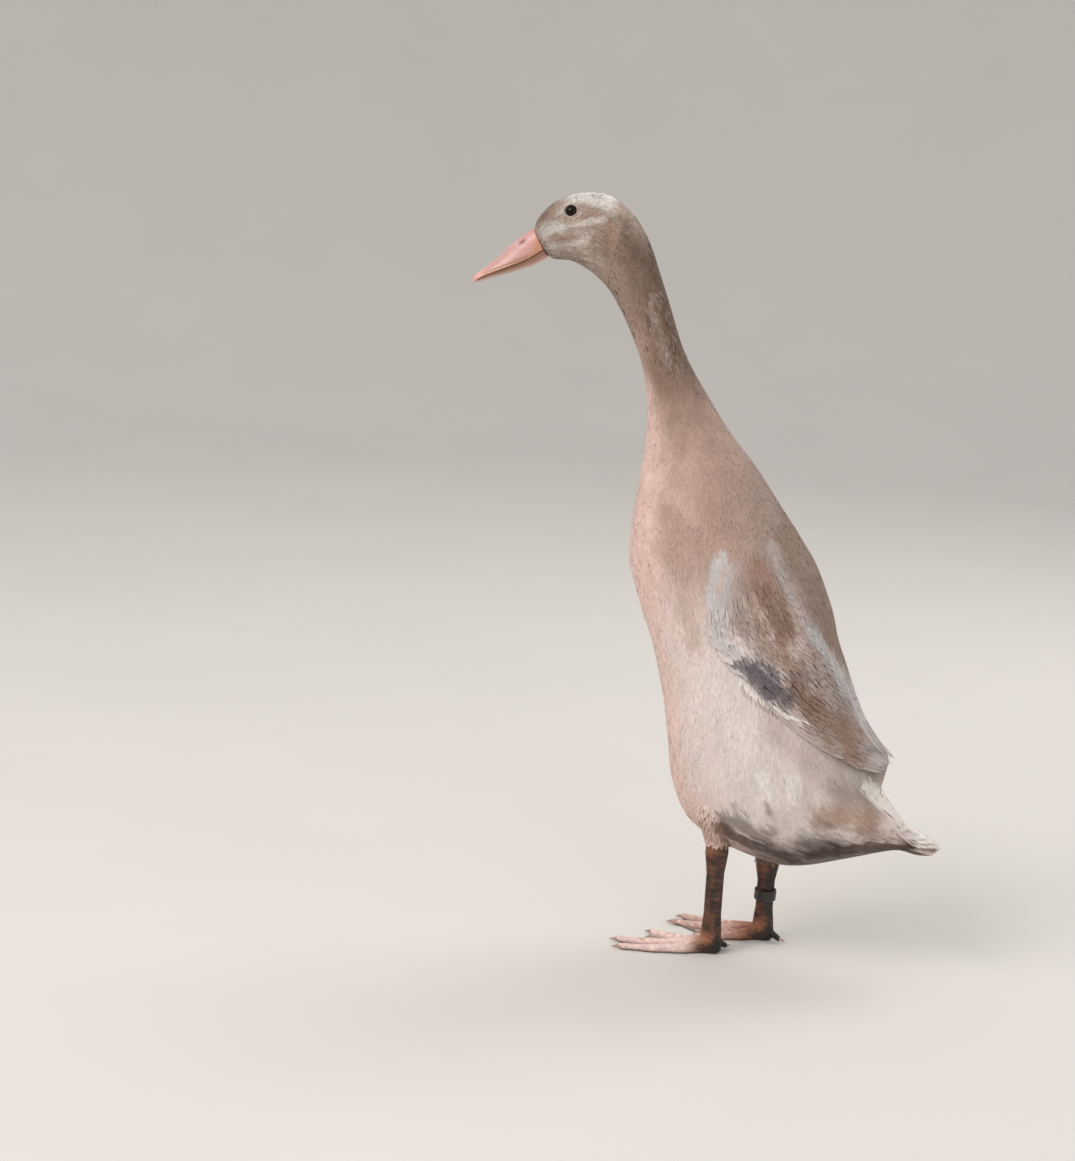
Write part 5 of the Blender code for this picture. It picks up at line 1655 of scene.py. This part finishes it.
class OBJECT_OT_duck_bill(bpy.types.Operator):
    """Makes the upper and the lower bill, smooth, with nostrils, lip, comb and nail"""

    bl_idname = "object.duck_bill"
    bl_label = "Bill"

    def execute(self, context):
        material = horn_material("bill horn", 0.36, grain=420.0, bump_height=0.00025,
                                 stretch=(1.0, 0.35, 0.6), wet=0.25)
        for name, (points, colours) in (("upper", upper_bill()), ("lower", lower_bill())):
            mesh = loft_mesh("bill_horn_" + name, points, colours)
            hand_in(link("bill_horn_" + name, mesh, material), "bill", "bill_" + name)
        return {"FINISHED"}


# Eyes


class OBJECT_OT_duck_eyes(bpy.types.Operator):
    """Makes the eyeballs with pupil and iris, and the lids round them"""

    bl_idname = "object.duck_eyes"
    bl_label = "Eyes"

    def execute(self, context):
        horn = context.scene.duck_horn
        eye_look = eye_material("eye", 0.04)
        lid_look = horn_material("eyelid", 0.6, grain=900.0, bump_height=0.00012)
        ahead = unit(np.cross(EYE_FACING, (0.0, 0.0, 1.0)))
        upward = np.cross(ahead, EYE_FACING)
        for name, side in (("left", 1), ("right", -1)):
            mirror = np.array((side, 1, 1))
            off = np.concatenate([np.linspace(0.01, 0.9, 40), np.linspace(0.95, 3.12, 30)])
            off = off[:, None, None]
            turn = full_turn(48)[None, :, None]
            spoke = ahead * np.cos(turn) + upward * np.sin(turn)
            facing = EYE_FACING * np.cos(off) + spoke * np.sin(off)
            points = (EYE_PLACE + facing * EYE_RADIUS) * mirror
            iris = ramp(off, *IRIS_INNER_EDGE) * ramp(off, *IRIS_OUTER_EDGE)
            colours = mixed(np.array(horn.pupil), horn.iris, iris)
            colours = np.broadcast_to(colours, points.shape)
            ball = link("eyeball_" + name, loft_mesh("eyeball", points, colours), eye_look)
            hand_in(ball, "eye", "eye_" + name)
            lid = link("eyelid_" + name, lid_mesh(ahead, upward, mirror, horn.lid), lid_look)
            hand_in(lid, "plumage")
        return {"FINISHED"}


def lid_mesh(ahead, upward, mirror, colour):
    """A closed rim of skin round the eye, a little longer than high, with fine folds and painted
    shade on its inner side.
    """
    turn = full_turn(96)[:, None]
    twist = full_turn(20)[None]
    spoke = ahead * 1.08 * np.cos(turn)[..., None] + upward * 0.94 * np.sin(turn)[..., None]
    folds = 0.07 * np.sin(turn * 23) + 0.05 * np.sin(turn * 41 + 1)
    thick = LID_THICKNESS * (1 + folds) * (1 + 0.12 * np.sin(turn))
    reach = LID_RADIUS + thick * np.cos(twist)
    points = EYE_PLACE + EYE_FACING * LID_DEPTH + spoke * reach[..., None]
    points = (points + EYE_FACING * (thick * np.sin(twist))[..., None]) * mirror
    # Painted shade on the lid's inner side, where it meets the eyeball.
    inward = np.broadcast_to(ramp(np.cos(twist), 0.2, -0.7), turn.shape[:1] + twist.shape[1:])
    colours = np.array(colour) * (1 - 0.55 * inward[..., None])
    faces = ring_faces(turn.size, twist.size)
    return face_outwards(mesh_from_arrays("eyelid", points, [faces], colours=colours))


# Legs, feet, claws and ring


def shank_sizes(share):
    """Half width and half depth of the shank, at shares of its way down."""
    return (np.interp(share, SHANK_SHARES, SHANK_HALF_X),
            np.interp(share, SHANK_SHARES, SHANK_HALF_Y))


def level_tube(path, half_x, half_y, sides=40):
    """Level rings of a tube along an upright path."""
    turn = full_turn(sides)
    path = np.asarray(path, float)[:, None, :]
    ring = np.stack([np.cos(turn), np.sin(turn), 0 * turn], -1)[None]
    sizes = np.stack([half_x, half_y, 0 * np.asarray(half_x)], -1)[:, None, :]
    return path + ring * sizes


def toe_line(side, x, y, turn, length, bow, count):
    """Middle line of a toe flat on the floor: points and shares from the ankle to the tip."""
    heading = math.radians(turn)
    steps = np.linspace(0, 1, count)
    ahead = np.array((side * math.sin(heading), -math.cos(heading), 0.0))
    aside = np.array((side * math.cos(heading), math.sin(heading), 0.0))
    start = np.array((side * x, y, 0.0))
    line = start + np.outer(steps * length, ahead) + np.outer(bow * np.sin(math.pi * steps), aside)
    return line, steps


def toe_sizes(steps):
    """Half width and height of a toe at shares of its length, with three knuckles."""
    knuckle = 1 + 0.14 * np.cos(2 * math.pi * 3 * steps)
    radius = TOE_RADIUS * (1 - 0.40 * steps) * knuckle
    rise = (8.4 * (1 - steps) ** 3 + TOE_HEIGHT * (1 - 0.34 * steps)) * (1 + 0.1 * (knuckle - 1))
    return radius, rise


def toe_rings(side, x, y, turn, length, bow):
    """Rings of a front toe, flat underneath."""
    line, steps = toe_line(side, x, y, turn, length, bow, 60)
    radius, rise = toe_sizes(steps)
    heading = math.radians(turn)
    around = full_turn(24)[None]
    across = np.array((side * math.cos(heading), math.sin(heading), 0.0))
    rings = line[:, None, :] + across * (radius[:, None] * np.cos(around))[..., None]
    rings[..., 2] += np.maximum(0.0, rise[:, None] * (0.42 + 0.58 * np.sin(around)))
    return rings


def web_mesh(first, second):
    """A thin web between two toe lines, folded a little, its front edge drawn in."""
    count, across_count = len(first), 24
    t = np.linspace(0, 1, across_count)[None, :, None]
    share = np.linspace(0, 1, count)[:, None, None]
    pull = 1 - 0.16 * 4 * t * (1 - t) * share**2
    spread = (first - first[0])[:, None] * (1 - t) * pull + (second - second[0])[:, None] * t * pull
    spread = spread + first[0] + (second[0] - first[0]) * t
    fall = 4.0 * (1 - share[..., 0]) ** 2
    folds = 0.55 * np.sin(t[..., 0] * math.pi * 5) * share[..., 0] * np.sin(math.pi * t[..., 0])
    top, low = spread.copy(), spread.copy()
    top[..., 2] += 0.5 + WEB_THICKNESS + fall + folds
    low[..., 2] += 0.4 + 0.5 * (fall + np.maximum(folds, 0))
    return loft_mesh("web", np.concatenate([top, low[:, ::-1]], axis=1))


def hind_toe_rings(side, x, y, inward):
    """Rings of the hind toe, which falls from the ankle to the floor, and its heading."""
    turned = math.radians(inward)
    heading = np.array((-side * math.sin(turned), math.cos(turned), 0.0))
    across = np.array((heading[1], -heading[0], 0.0))
    turn = full_turn(20)[None]
    steps = np.linspace(0, 1, 24)[:, None]
    root = np.array((side * x, y, HIND_TOE_ROOT_Z))
    middle = root + heading * (HIND_TOE_LENGTH * steps)[..., None]
    middle[..., 2] -= HIND_TOE_FALL * steps**0.8
    radius = HIND_TOE_RADIUS * (1 - 0.36 * steps)
    up = radius * np.sin(turn)
    rings = middle + across * (radius * np.cos(turn))[..., None]
    rings = rings + heading * ((1 - steps) * 0.55 * up)[..., None]
    rings[..., 2] = np.maximum(rings[..., 2] + up, LOWEST_Z)
    return rings, heading


class OBJECT_OT_duck_legs(bpy.types.Operator):
    """Makes each shank, foot, web and toe as one skin with mud and painted shadow, and plates along
    the toes
    """

    bl_idname = "object.duck_legs"
    bl_label = "Legs"

    def execute(self, context):
        skin_look = horn_material("leg skin", 0.5, grain=330.0, bump_height=0.0005)
        plate = plate_mesh()
        tree = plate_tree(skin_look)
        for name, (side, x, y, turn, inward, bottom_z) in LEGS.items():
            skin = one_skin("leg", leg_meshes(side, x, y, turn, inward, bottom_z), LEG_VOXEL)
            paint_leg(skin, side, y, bottom_z)
            hand_in(link("leg_skin_" + name, skin, skin_look), "leg_skin",
                    "shank_" + name, "foot_" + name)
            plates = plates_along(tree, plate, toe_paths(side, x, y, turn, bottom_z))
            paint_leg(plates, side, y, bottom_z, 1.1)
            hand_in(link("leg_plates_" + name, plates, skin_look), "leg_skin")
        bpy.data.objects.remove(plate)
        bpy.data.node_groups.remove(tree)
        return {"FINISHED"}


def leg_meshes(side, x, y, turn, inward, bottom_z):
    """Closed meshes of a shank, the pad under it, toes and webs, which overlap."""
    def upright(heights):
        return np.column_stack([np.full(len(heights), side * x), np.full(len(heights), y), heights])

    heights = np.linspace(bottom_z + 5, ANKLE_Z - 2, 70)
    share = np.clip((bottom_z - heights) / (bottom_z - ANKLE_Z), 0, 1)
    meshes = [
        loft_mesh("shank", level_tube(upright(heights), *shank_sizes(share))),
        loft_mesh("pad", level_tube(upright(PAD_HEIGHTS), PAD_HALF_X, PAD_HALF_Y)),
    ]
    lines = []
    for spread, length, bow in TOES.values():
        lines.append(toe_line(side, x, y, turn + spread, length, bow, 30)[0])
        meshes.append(loft_mesh("toe", toe_rings(side, x, y, turn + spread, length, bow)))
    meshes += [web_mesh(first, second) for first, second in zip(lines, lines[1:])]
    meshes.append(loft_mesh("hind toe", hind_toe_rings(side, x, y, inward)[0]))
    return meshes


def paint_leg(mesh, side, y, bottom_z, light=1.0):
    """Orange shank, pink toes, dark mud that clings to the back, the hock and the ankle, and painted
    shadow at the back of the ankle and under the heel.
    """
    horn = bpy.context.scene.duck_horn
    points = vertex_places(mesh)
    z = points[:, 2]
    colours = np.tile(np.array(horn.leg), (len(points), 1))
    patches, fine = ripple(points, 16.0, 21), ripple(points, 4.5, 22)
    muddy = 1.0 if side > 0 else 1.15

    def blend(colour, share):
        colours[:] = mixed(colours, colour, np.clip(share, 0, 1)[:, None])

    ahead = ramp(y - points[:, 1], 4, 22) if side > 0 else ramp(y - points[:, 1], 10, 40)
    blend(horn.toe, ahead * ramp(z, 17, 11) * (0.95 if side > 0 else 0.6))
    blend(np.array(horn.toe) * 1.12, ramp(fine, 0.2, 1.6) * ahead * ramp(z, 17, 11) * 0.6)
    behind = ramp(points[:, 1] - y, -3, 6)
    clods = ripple(points * (1, 1, 0.6), 9.0, 23)
    smears = ripple(points * (1, 1, 2.4), 8.0, 24)
    bare = ramp(z + 2 * clods, bottom_z - 16, bottom_z - 6) * (1 - behind)
    cover = 0.74 + 0.10 * patches + 0.10 * clods + 0.10 * smears + 0.15 * behind - 0.5 * bare
    blend(horn.mud, cover * muddy * ramp(z, 13, 22))
    # Mud with painted shadow: near black at the back of the lower shank and the ankle.
    blend(np.array(horn.mud) * 0.15, behind * ramp(z + 2 * fine, 26, 12) * 0.97)
    # Painted shadow under the heel.
    heel_shadow = ramp(points[:, 1] - y + 2 * fine, -15, -4) * ramp(z + fine, 12, 6)
    blend(np.array(horn.mud) * 0.3, heel_shadow * 0.9)
    blend(horn.mud, ramp(z, 3.0, 0.8) * 0.75)
    blend(horn.mud, ramp(smears + 0.5 * patches, 0.8, 1.8) * 0.35)
    shade = (1 + 0.07 * fine + 0.04 * patches) * light
    paint(mesh, np.clip(colours * shade[:, None], 0, 1))


def toe_paths(side, x, y, turn, bottom_z):
    """Paths of the plates: down the shank's front and over each front toe, with radii."""
    z = np.linspace(min(bottom_z - 6, 84), ANKLE_Z + 2, 40)
    share = (bottom_z - z) / (bottom_z - ANKLE_Z)
    half_x, half_y = shank_sizes(share)
    shank = np.column_stack([np.full(len(z), side * x), y - half_y + PLATE_SINK, z])
    paths = [(shank, half_x * 0.8)]
    for spread, length, bow in TOES.values():
        line, steps = toe_line(side, x, y, turn + spread, length, bow, 40)
        radius, rise = toe_sizes(steps)
        line = line + np.outer(rise - PLATE_SINK, (0, 0, 1))
        keep = steps > 0.16
        paths.append((line[keep], radius[keep] * 0.8))
    return paths


def plate_mesh():
    """One scale: a curved plate one unit wide to each side, to be set on a toe, facing +Z."""
    across = np.linspace(-1, 1, 7)[None, :]
    along = np.linspace(-0.5, 0.5, 4)[:, None]
    width = np.array((0.86, 1.0, 1.0, 0.9))[:, None]
    x = across * width
    z = -0.42 * across**2 + 0.10 * np.sin(math.pi * (along + 0.5)) + 0 * across
    top = np.stack(np.broadcast_arrays(x * 1.0, along * 1.0, z), -1)
    low = top - (0, 0, 0.25)
    mesh = loft_mesh("plate", np.concatenate([top, low[:, ::-1]], axis=1) * 1000)
    for vertex in mesh.vertices:
        vertex.co.y += BOX_MIDDLE_Y * MM
    obj = bpy.data.objects.new("plate", mesh)
    bpy.context.scene.collection.objects.link(obj)
    return obj


def plate_tree(material):
    """Geometry nodes that set one plate after another along the paths it is given."""
    tree = bpy.data.node_groups.new("plates along a path", "GeometryNodeTree")
    for name, way, kind in (
        ("Geometry", "INPUT", "Geometry"), ("Plate", "INPUT", "Object"),
        ("Spacing", "INPUT", "Float"), ("Seed", "INPUT", "Int"), ("Geometry", "OUTPUT", "Geometry"),
    ):
        tree.interface.new_socket(name, in_out=way, socket_type="NodeSocket" + kind)
    given = add_node(tree, "NodeGroupInput").outputs
    curve = add_node(tree, "GeometryNodeMeshToCurve", Mesh=given["Geometry"]).outputs["Curve"]
    spread = add_node(tree, "GeometryNodeResampleCurve", mode="LENGTH", Curve=curve,
                      Length=given["Spacing"])
    width = add_node(tree, "GeometryNodeInputNamedAttribute", data_type="FLOAT", Name="reach")
    outward = add_node(tree, "GeometryNodeInputNamedAttribute", data_type="FLOAT_VECTOR",
                       Name="outward")
    upright = add_node(tree, "FunctionNodeAlignEulerToVector", axis="Z",
                       Vector=outward.outputs["Attribute"])
    tangent = add_node(tree, "GeometryNodeInputTangent").outputs["Tangent"]
    ahead = add_node(tree, "FunctionNodeAlignEulerToVector", axis="Y", pivot_axis="Z",
                     Rotation=upright.outputs["Rotation"], Vector=tangent)
    vary = add_node(tree, "FunctionNodeRandomValue", Seed=given["Seed"])
    vary.inputs[2].default_value, vary.inputs[3].default_value = PLATE_VARIATION
    reach = maths(tree, "MULTIPLY", width.outputs["Attribute"], vary.outputs[1])
    length = maths(tree, "MULTIPLY", given["Spacing"], PLATE_OVERLAP)
    size = add_node(tree, "ShaderNodeCombineXYZ", X=reach, Y=length, Z=reach).outputs["Vector"]
    plate = add_node(tree, "GeometryNodeObjectInfo", Object=given["Plate"]).outputs["Geometry"]
    placed = add_node(tree, "GeometryNodeInstanceOnPoints", Points=spread.outputs["Curve"],
                      Instance=plate, Rotation=ahead.outputs["Rotation"], Scale=size)
    real = add_node(tree, "GeometryNodeRealizeInstances", Geometry=placed.outputs["Instances"])
    covered = add_node(tree, "GeometryNodeSetMaterial", Geometry=real.outputs["Geometry"],
                       Material=material)
    add_node(tree, "NodeGroupOutput", Geometry=covered.outputs["Geometry"])
    return tree


def plates_along(tree, plate, paths):
    """The plates of one leg as a plain mesh."""
    points = to_metres(np.vstack([path for path, _ in paths]))
    edges, outward, total = [], [], 0
    for k, (path, _) in enumerate(paths):
        edges += [(total + i, total + i + 1) for i in range(len(path) - 1)]
        outward += [(0.0, -1.0, 0.0) if k == 0 else (0.0, 0.0, 1.0)] * len(path)
        total += len(path)
    mesh = bpy.data.meshes.new("paths")
    mesh.from_pydata(points.tolist(), edges, [])
    reach = np.concatenate([radius for _, radius in paths]).astype(np.float32) * MM
    mesh.attributes.new("reach", "FLOAT", "POINT").data.foreach_set("value", reach)
    layer = mesh.attributes.new("outward", "FLOAT_VECTOR", "POINT")
    layer.data.foreach_set("vector", np.array(outward, np.float32).ravel())
    obj = bpy.data.objects.new("paths", mesh)
    bpy.context.scene.collection.objects.link(obj)
    modifier = obj.modifiers.new("plates", "NODES")
    modifier.node_group = tree
    values = {"Plate": plate, "Spacing": PLATE_SPACING * MM, "Seed": 3}
    for socket in tree.interface.items_tree:
        if socket.in_out == "INPUT" and socket.name in values:
            modifier[socket.identifier] = values[socket.name]
    graph = bpy.context.evaluated_depsgraph_get()
    made = bpy.data.meshes.new_from_object(obj.evaluated_get(graph))
    bpy.data.objects.remove(obj)
    made.materials.clear()
    return made


class OBJECT_OT_duck_claws(bpy.types.Operator):
    """Makes the eight claws"""

    bl_idname = "object.duck_claws"
    bl_label = "Claws"

    def execute(self, context):
        material = horn_material("claw horn", 0.4, grain=500.0, bump_height=0.0002,
                                 stretch=(1.0, 0.3, 1.0), wet=0.15)
        colour = np.array(context.scene.duck_horn.claw)
        for name, (side, x, y, turn, inward, _) in LEGS.items():
            roots = {}
            for toe, (spread, length, bow) in TOES.items():
                line = toe_line(side, x, y, turn + spread, length, bow, 9)[0]
                heading = unit(line[-1] - line[-2])
                root = line[-1] + (0, 0, CLAW_ROOT_Z) - heading * CLAW_OVERLAP
                roots[toe] = (root, heading, CLAW_RADIUS, CLAW_LENGTH)
            rings, heading = hind_toe_rings(side, x, y, inward)
            root = rings[-1].mean(0) - heading * CLAW_OVERLAP
            roots["hind"] = (root, heading, HIND_CLAW_RADIUS, HIND_CLAW_LENGTH)
            for toe, place in roots.items():
                rings = claw_rings(*place)
                share = np.linspace(0, 1, len(rings))[:, None, None]
                colours = np.broadcast_to(colour * (1.15 - 0.5 * share), rings.shape)
                piece = f"claw_horn_{name}_{toe}"
                obj = link(piece, loft_mesh(piece, rings, np.clip(colours, 0, 1)), material)
                hand_in(obj, "claw", f"claw_{name}_{toe}")
        return {"FINISHED"}


def claw_rings(root, heading, radius, length):
    """Rings of a claw that narrows, curves down and is flatter underneath."""
    across = np.array((-heading[1], heading[0], 0.0))
    steps = np.linspace(0, 1, 26)[:, None]
    turn = full_turn(18)[None]
    size = radius * (1 - 0.9 * steps**1.3)
    middle = root + heading * (length * steps)[..., None]
    middle[..., 2] -= 1.1 * steps**2
    rise = size * np.where(np.sin(turn) < 0, 0.8, 1.0) * np.sin(turn)
    rings = middle + across * (size * 0.8 * np.cos(turn))[..., None]
    rings[..., 2] = np.maximum(rings[..., 2] + rise, LOWEST_Z)
    return rings


class OBJECT_OT_duck_ring(bpy.types.Operator):
    """Makes the ribbed plastic ring on the right shank"""

    bl_idname = "object.duck_ring"
    bl_label = "Leg Ring"

    def execute(self, context):
        side, x, y = LEGS["right"][:3]
        inner, outer, height = RING_SIZE
        turn = full_turn(120)[:, None]
        section = full_turn(48)[None]
        out = signed_power(np.cos(section), RING_ROUNDNESS)
        up = signed_power(np.sin(section), RING_ROUNDNESS)
        rib = RIB_DEPTH * np.cos(up * 2.5 * math.pi + turn) * ramp(out, 0.6, 0.9)
        radius = (inner + outer) / 2 + (outer - inner) / 2 * out
        radius = radius - RIB_DEPTH * ramp(out, 0, 0.9) + rib
        rise = RING_HEIGHT_Z + height / 2 * (1 + up) + 0 * turn
        points = np.stack([
            side * x + radius * np.cos(turn), y + radius * np.sin(turn), rise,
        ], -1)
        colours = np.tile(np.array(context.scene.duck_horn.ring), (points[..., 0].size, 1))
        faces = ring_faces(turn.size, section.size)
        mesh = mesh_from_arrays("leg ring", points, [faces], colours=colours)
        plastic = horn_material("ring plastic", 0.4, grain=380.0, bump_height=0.00015)
        hand_in(link("ring_on_leg", face_outwards(mesh), plastic), "ring", "leg_ring")
        return {"FINISHED"}


# Studio

# Each light's place in metres, share of the power, width in metres and colour.
STUDIO_LIGHTS = (
    ("key", (1.5, -1.3, 2.1), 1.0, 1.6, (1.0, 0.975, 0.95)),
    ("fill", (1.9, 1.6, 1.1), 0.22, 1.6, (0.94, 0.97, 1.0)),
    ("rim", (-1.4, 1.0, 1.9), 0.45, 1.2, (1.0, 0.98, 0.95)),
)
AIM_HEIGHT = 0.3


class SCENE_OT_duck_studio(bpy.types.Operator):
    """Sets floor, lights, sky and camera"""

    bl_idname = "scene.duck_studio"
    bl_label = "Studio"

    def execute(self, context):
        scene = context.scene
        studio = scene.duck_studio
        link("floor", floor_mesh(), plaster_material(studio.floor_colour))
        for name, place, share, width, colour in STUDIO_LIGHTS:
            lamp = bpy.data.lights.new(name, "AREA")
            lamp.shape = "DISK"
            lamp.size = width
            lamp.energy = studio.light_power * share
            lamp.color = colour
            obj = bpy.data.objects.new(name, lamp)
            scene.collection.objects.link(obj)
            obj.location = place
            aim = Vector((0, 0, AIM_HEIGHT)) - obj.location
            obj.rotation_euler = aim.to_track_quat("-Z", "Y").to_euler()
        world = bpy.data.worlds.new("studio sky")
        world.use_nodes = True
        sky = world.node_tree.nodes["Background"]
        sky.inputs["Color"].default_value = (1.0, 0.995, 0.985, 1)
        sky.inputs["Strength"].default_value = studio.sky_strength
        scene.world = world
        scene.view_settings.view_transform = "Standard"
        scene.view_settings.look = "None"
        scene.camera = photo_camera()
        return {"FINISHED"}


def plaster_material(colour):
    """Pale plaster with a faint mottle and a fine grain."""
    look = Look("floor plaster")
    plain = look.add("ShaderNodeRGB").outputs[0]
    plain.default_value = (*colour, 1)
    return look.finish(look.varied(plain, look.noise(3.0), low=0.96, high=1.03),
                       Normal=look.bump(look.noise(90.0), 0.1, 0.001), Roughness=0.8)


def floor_mesh():
    """A round flat floor whose rim curves up into a backdrop on every side."""
    flat, bend, sides = 3.4, 2.0, 96
    profile = [(flat * 0.5, 0.0)]
    for turn in np.linspace(0, math.pi / 2, 17):
        profile.append((flat + bend * math.sin(turn), bend * (1 - math.cos(turn))))
    around = full_turn(sides)
    points = [(r * math.cos(a), r * math.sin(a), z) for r, z in profile for a in around]
    faces = [tuple(range(sides))]
    for k in range(len(profile) - 1):
        for j in range(sides):
            low, next_low = k * sides + j, k * sides + (j + 1) % sides
            faces.append((low, low + sides, next_low + sides, next_low))
    mesh = bpy.data.meshes.new("floor")
    mesh.from_pydata(points, [], faces)
    mesh.shade_smooth()
    return mesh


def photo_camera():
    """The camera that sees the bird as the photograph does."""
    lens = bpy.data.cameras.new("camera")
    lens.lens = CAMERA_LENS
    lens.sensor_width = 36.0
    lens.sensor_fit = "AUTO"
    obj = bpy.data.objects.new("camera", lens)
    bpy.context.scene.collection.objects.link(obj)
    turn = Vector(CAMERA_AXIS).to_track_quat("-Z", "Y").to_matrix()
    turn = turn @ Matrix.Rotation(CAMERA_ROLL, 3, "Z")
    obj.matrix_world = Matrix.Translation(CAMERA_PLACE) @ turn.to_4x4()
    return obj


# Sidebar


OPERATORS = (
    OBJECT_OT_duck_skin, OBJECT_OT_duck_head_coat, OBJECT_OT_duck_neck_coat,
    OBJECT_OT_duck_body_coat, OBJECT_OT_duck_thigh_coat, OBJECT_OT_duck_wings,
    OBJECT_OT_duck_tail, OBJECT_OT_duck_bill, OBJECT_OT_duck_eyes, OBJECT_OT_duck_legs,
    OBJECT_OT_duck_claws, OBJECT_OT_duck_ring, SCENE_OT_duck_studio,
)
SETTINGS = {
    "duck_plumage": DuckPlumageColours, "duck_horn": DuckHornColours,
    "duck_coat": DuckCoatSizes, "duck_studio": DuckStudio,
}


class VIEW3D_PT_duck(bpy.types.Panel):
    """Lists the duck's pieces and settings in the sidebar"""

    bl_idname = "VIEW3D_PT_duck"
    bl_label = "Runner Duck"
    bl_space_type = "VIEW_3D"
    bl_region_type = "UI"
    bl_category = "Duck"

    def draw(self, context):
        for operator in OPERATORS:
            self.layout.operator(operator.bl_idname)
        for name, group in SETTINGS.items():
            box = self.layout.box()
            box.label(text=group.__doc__)
            for value in group.__annotations__:
                box.prop(getattr(context.scene, name), value)


def register():
    for group in SETTINGS.values():
        bpy.utils.register_class(group)
    for name, group in SETTINGS.items():
        setattr(bpy.types.Scene, name, bpy.props.PointerProperty(type=group))
    for kind in OPERATORS + (VIEW3D_PT_duck,):
        bpy.utils.register_class(kind)


def unregister():
    for kind in reversed(OPERATORS + (VIEW3D_PT_duck,)):
        bpy.utils.unregister_class(kind)
    for name in SETTINGS:
        delattr(bpy.types.Scene, name)
    for group in reversed(list(SETTINGS.values())):
        bpy.utils.unregister_class(group)


def main():
    register()
    for operator in OPERATORS:
        group, name = operator.bl_idname.split(".")
        getattr(getattr(bpy.ops, group), name)()


if __name__ == "__main__":
    main()
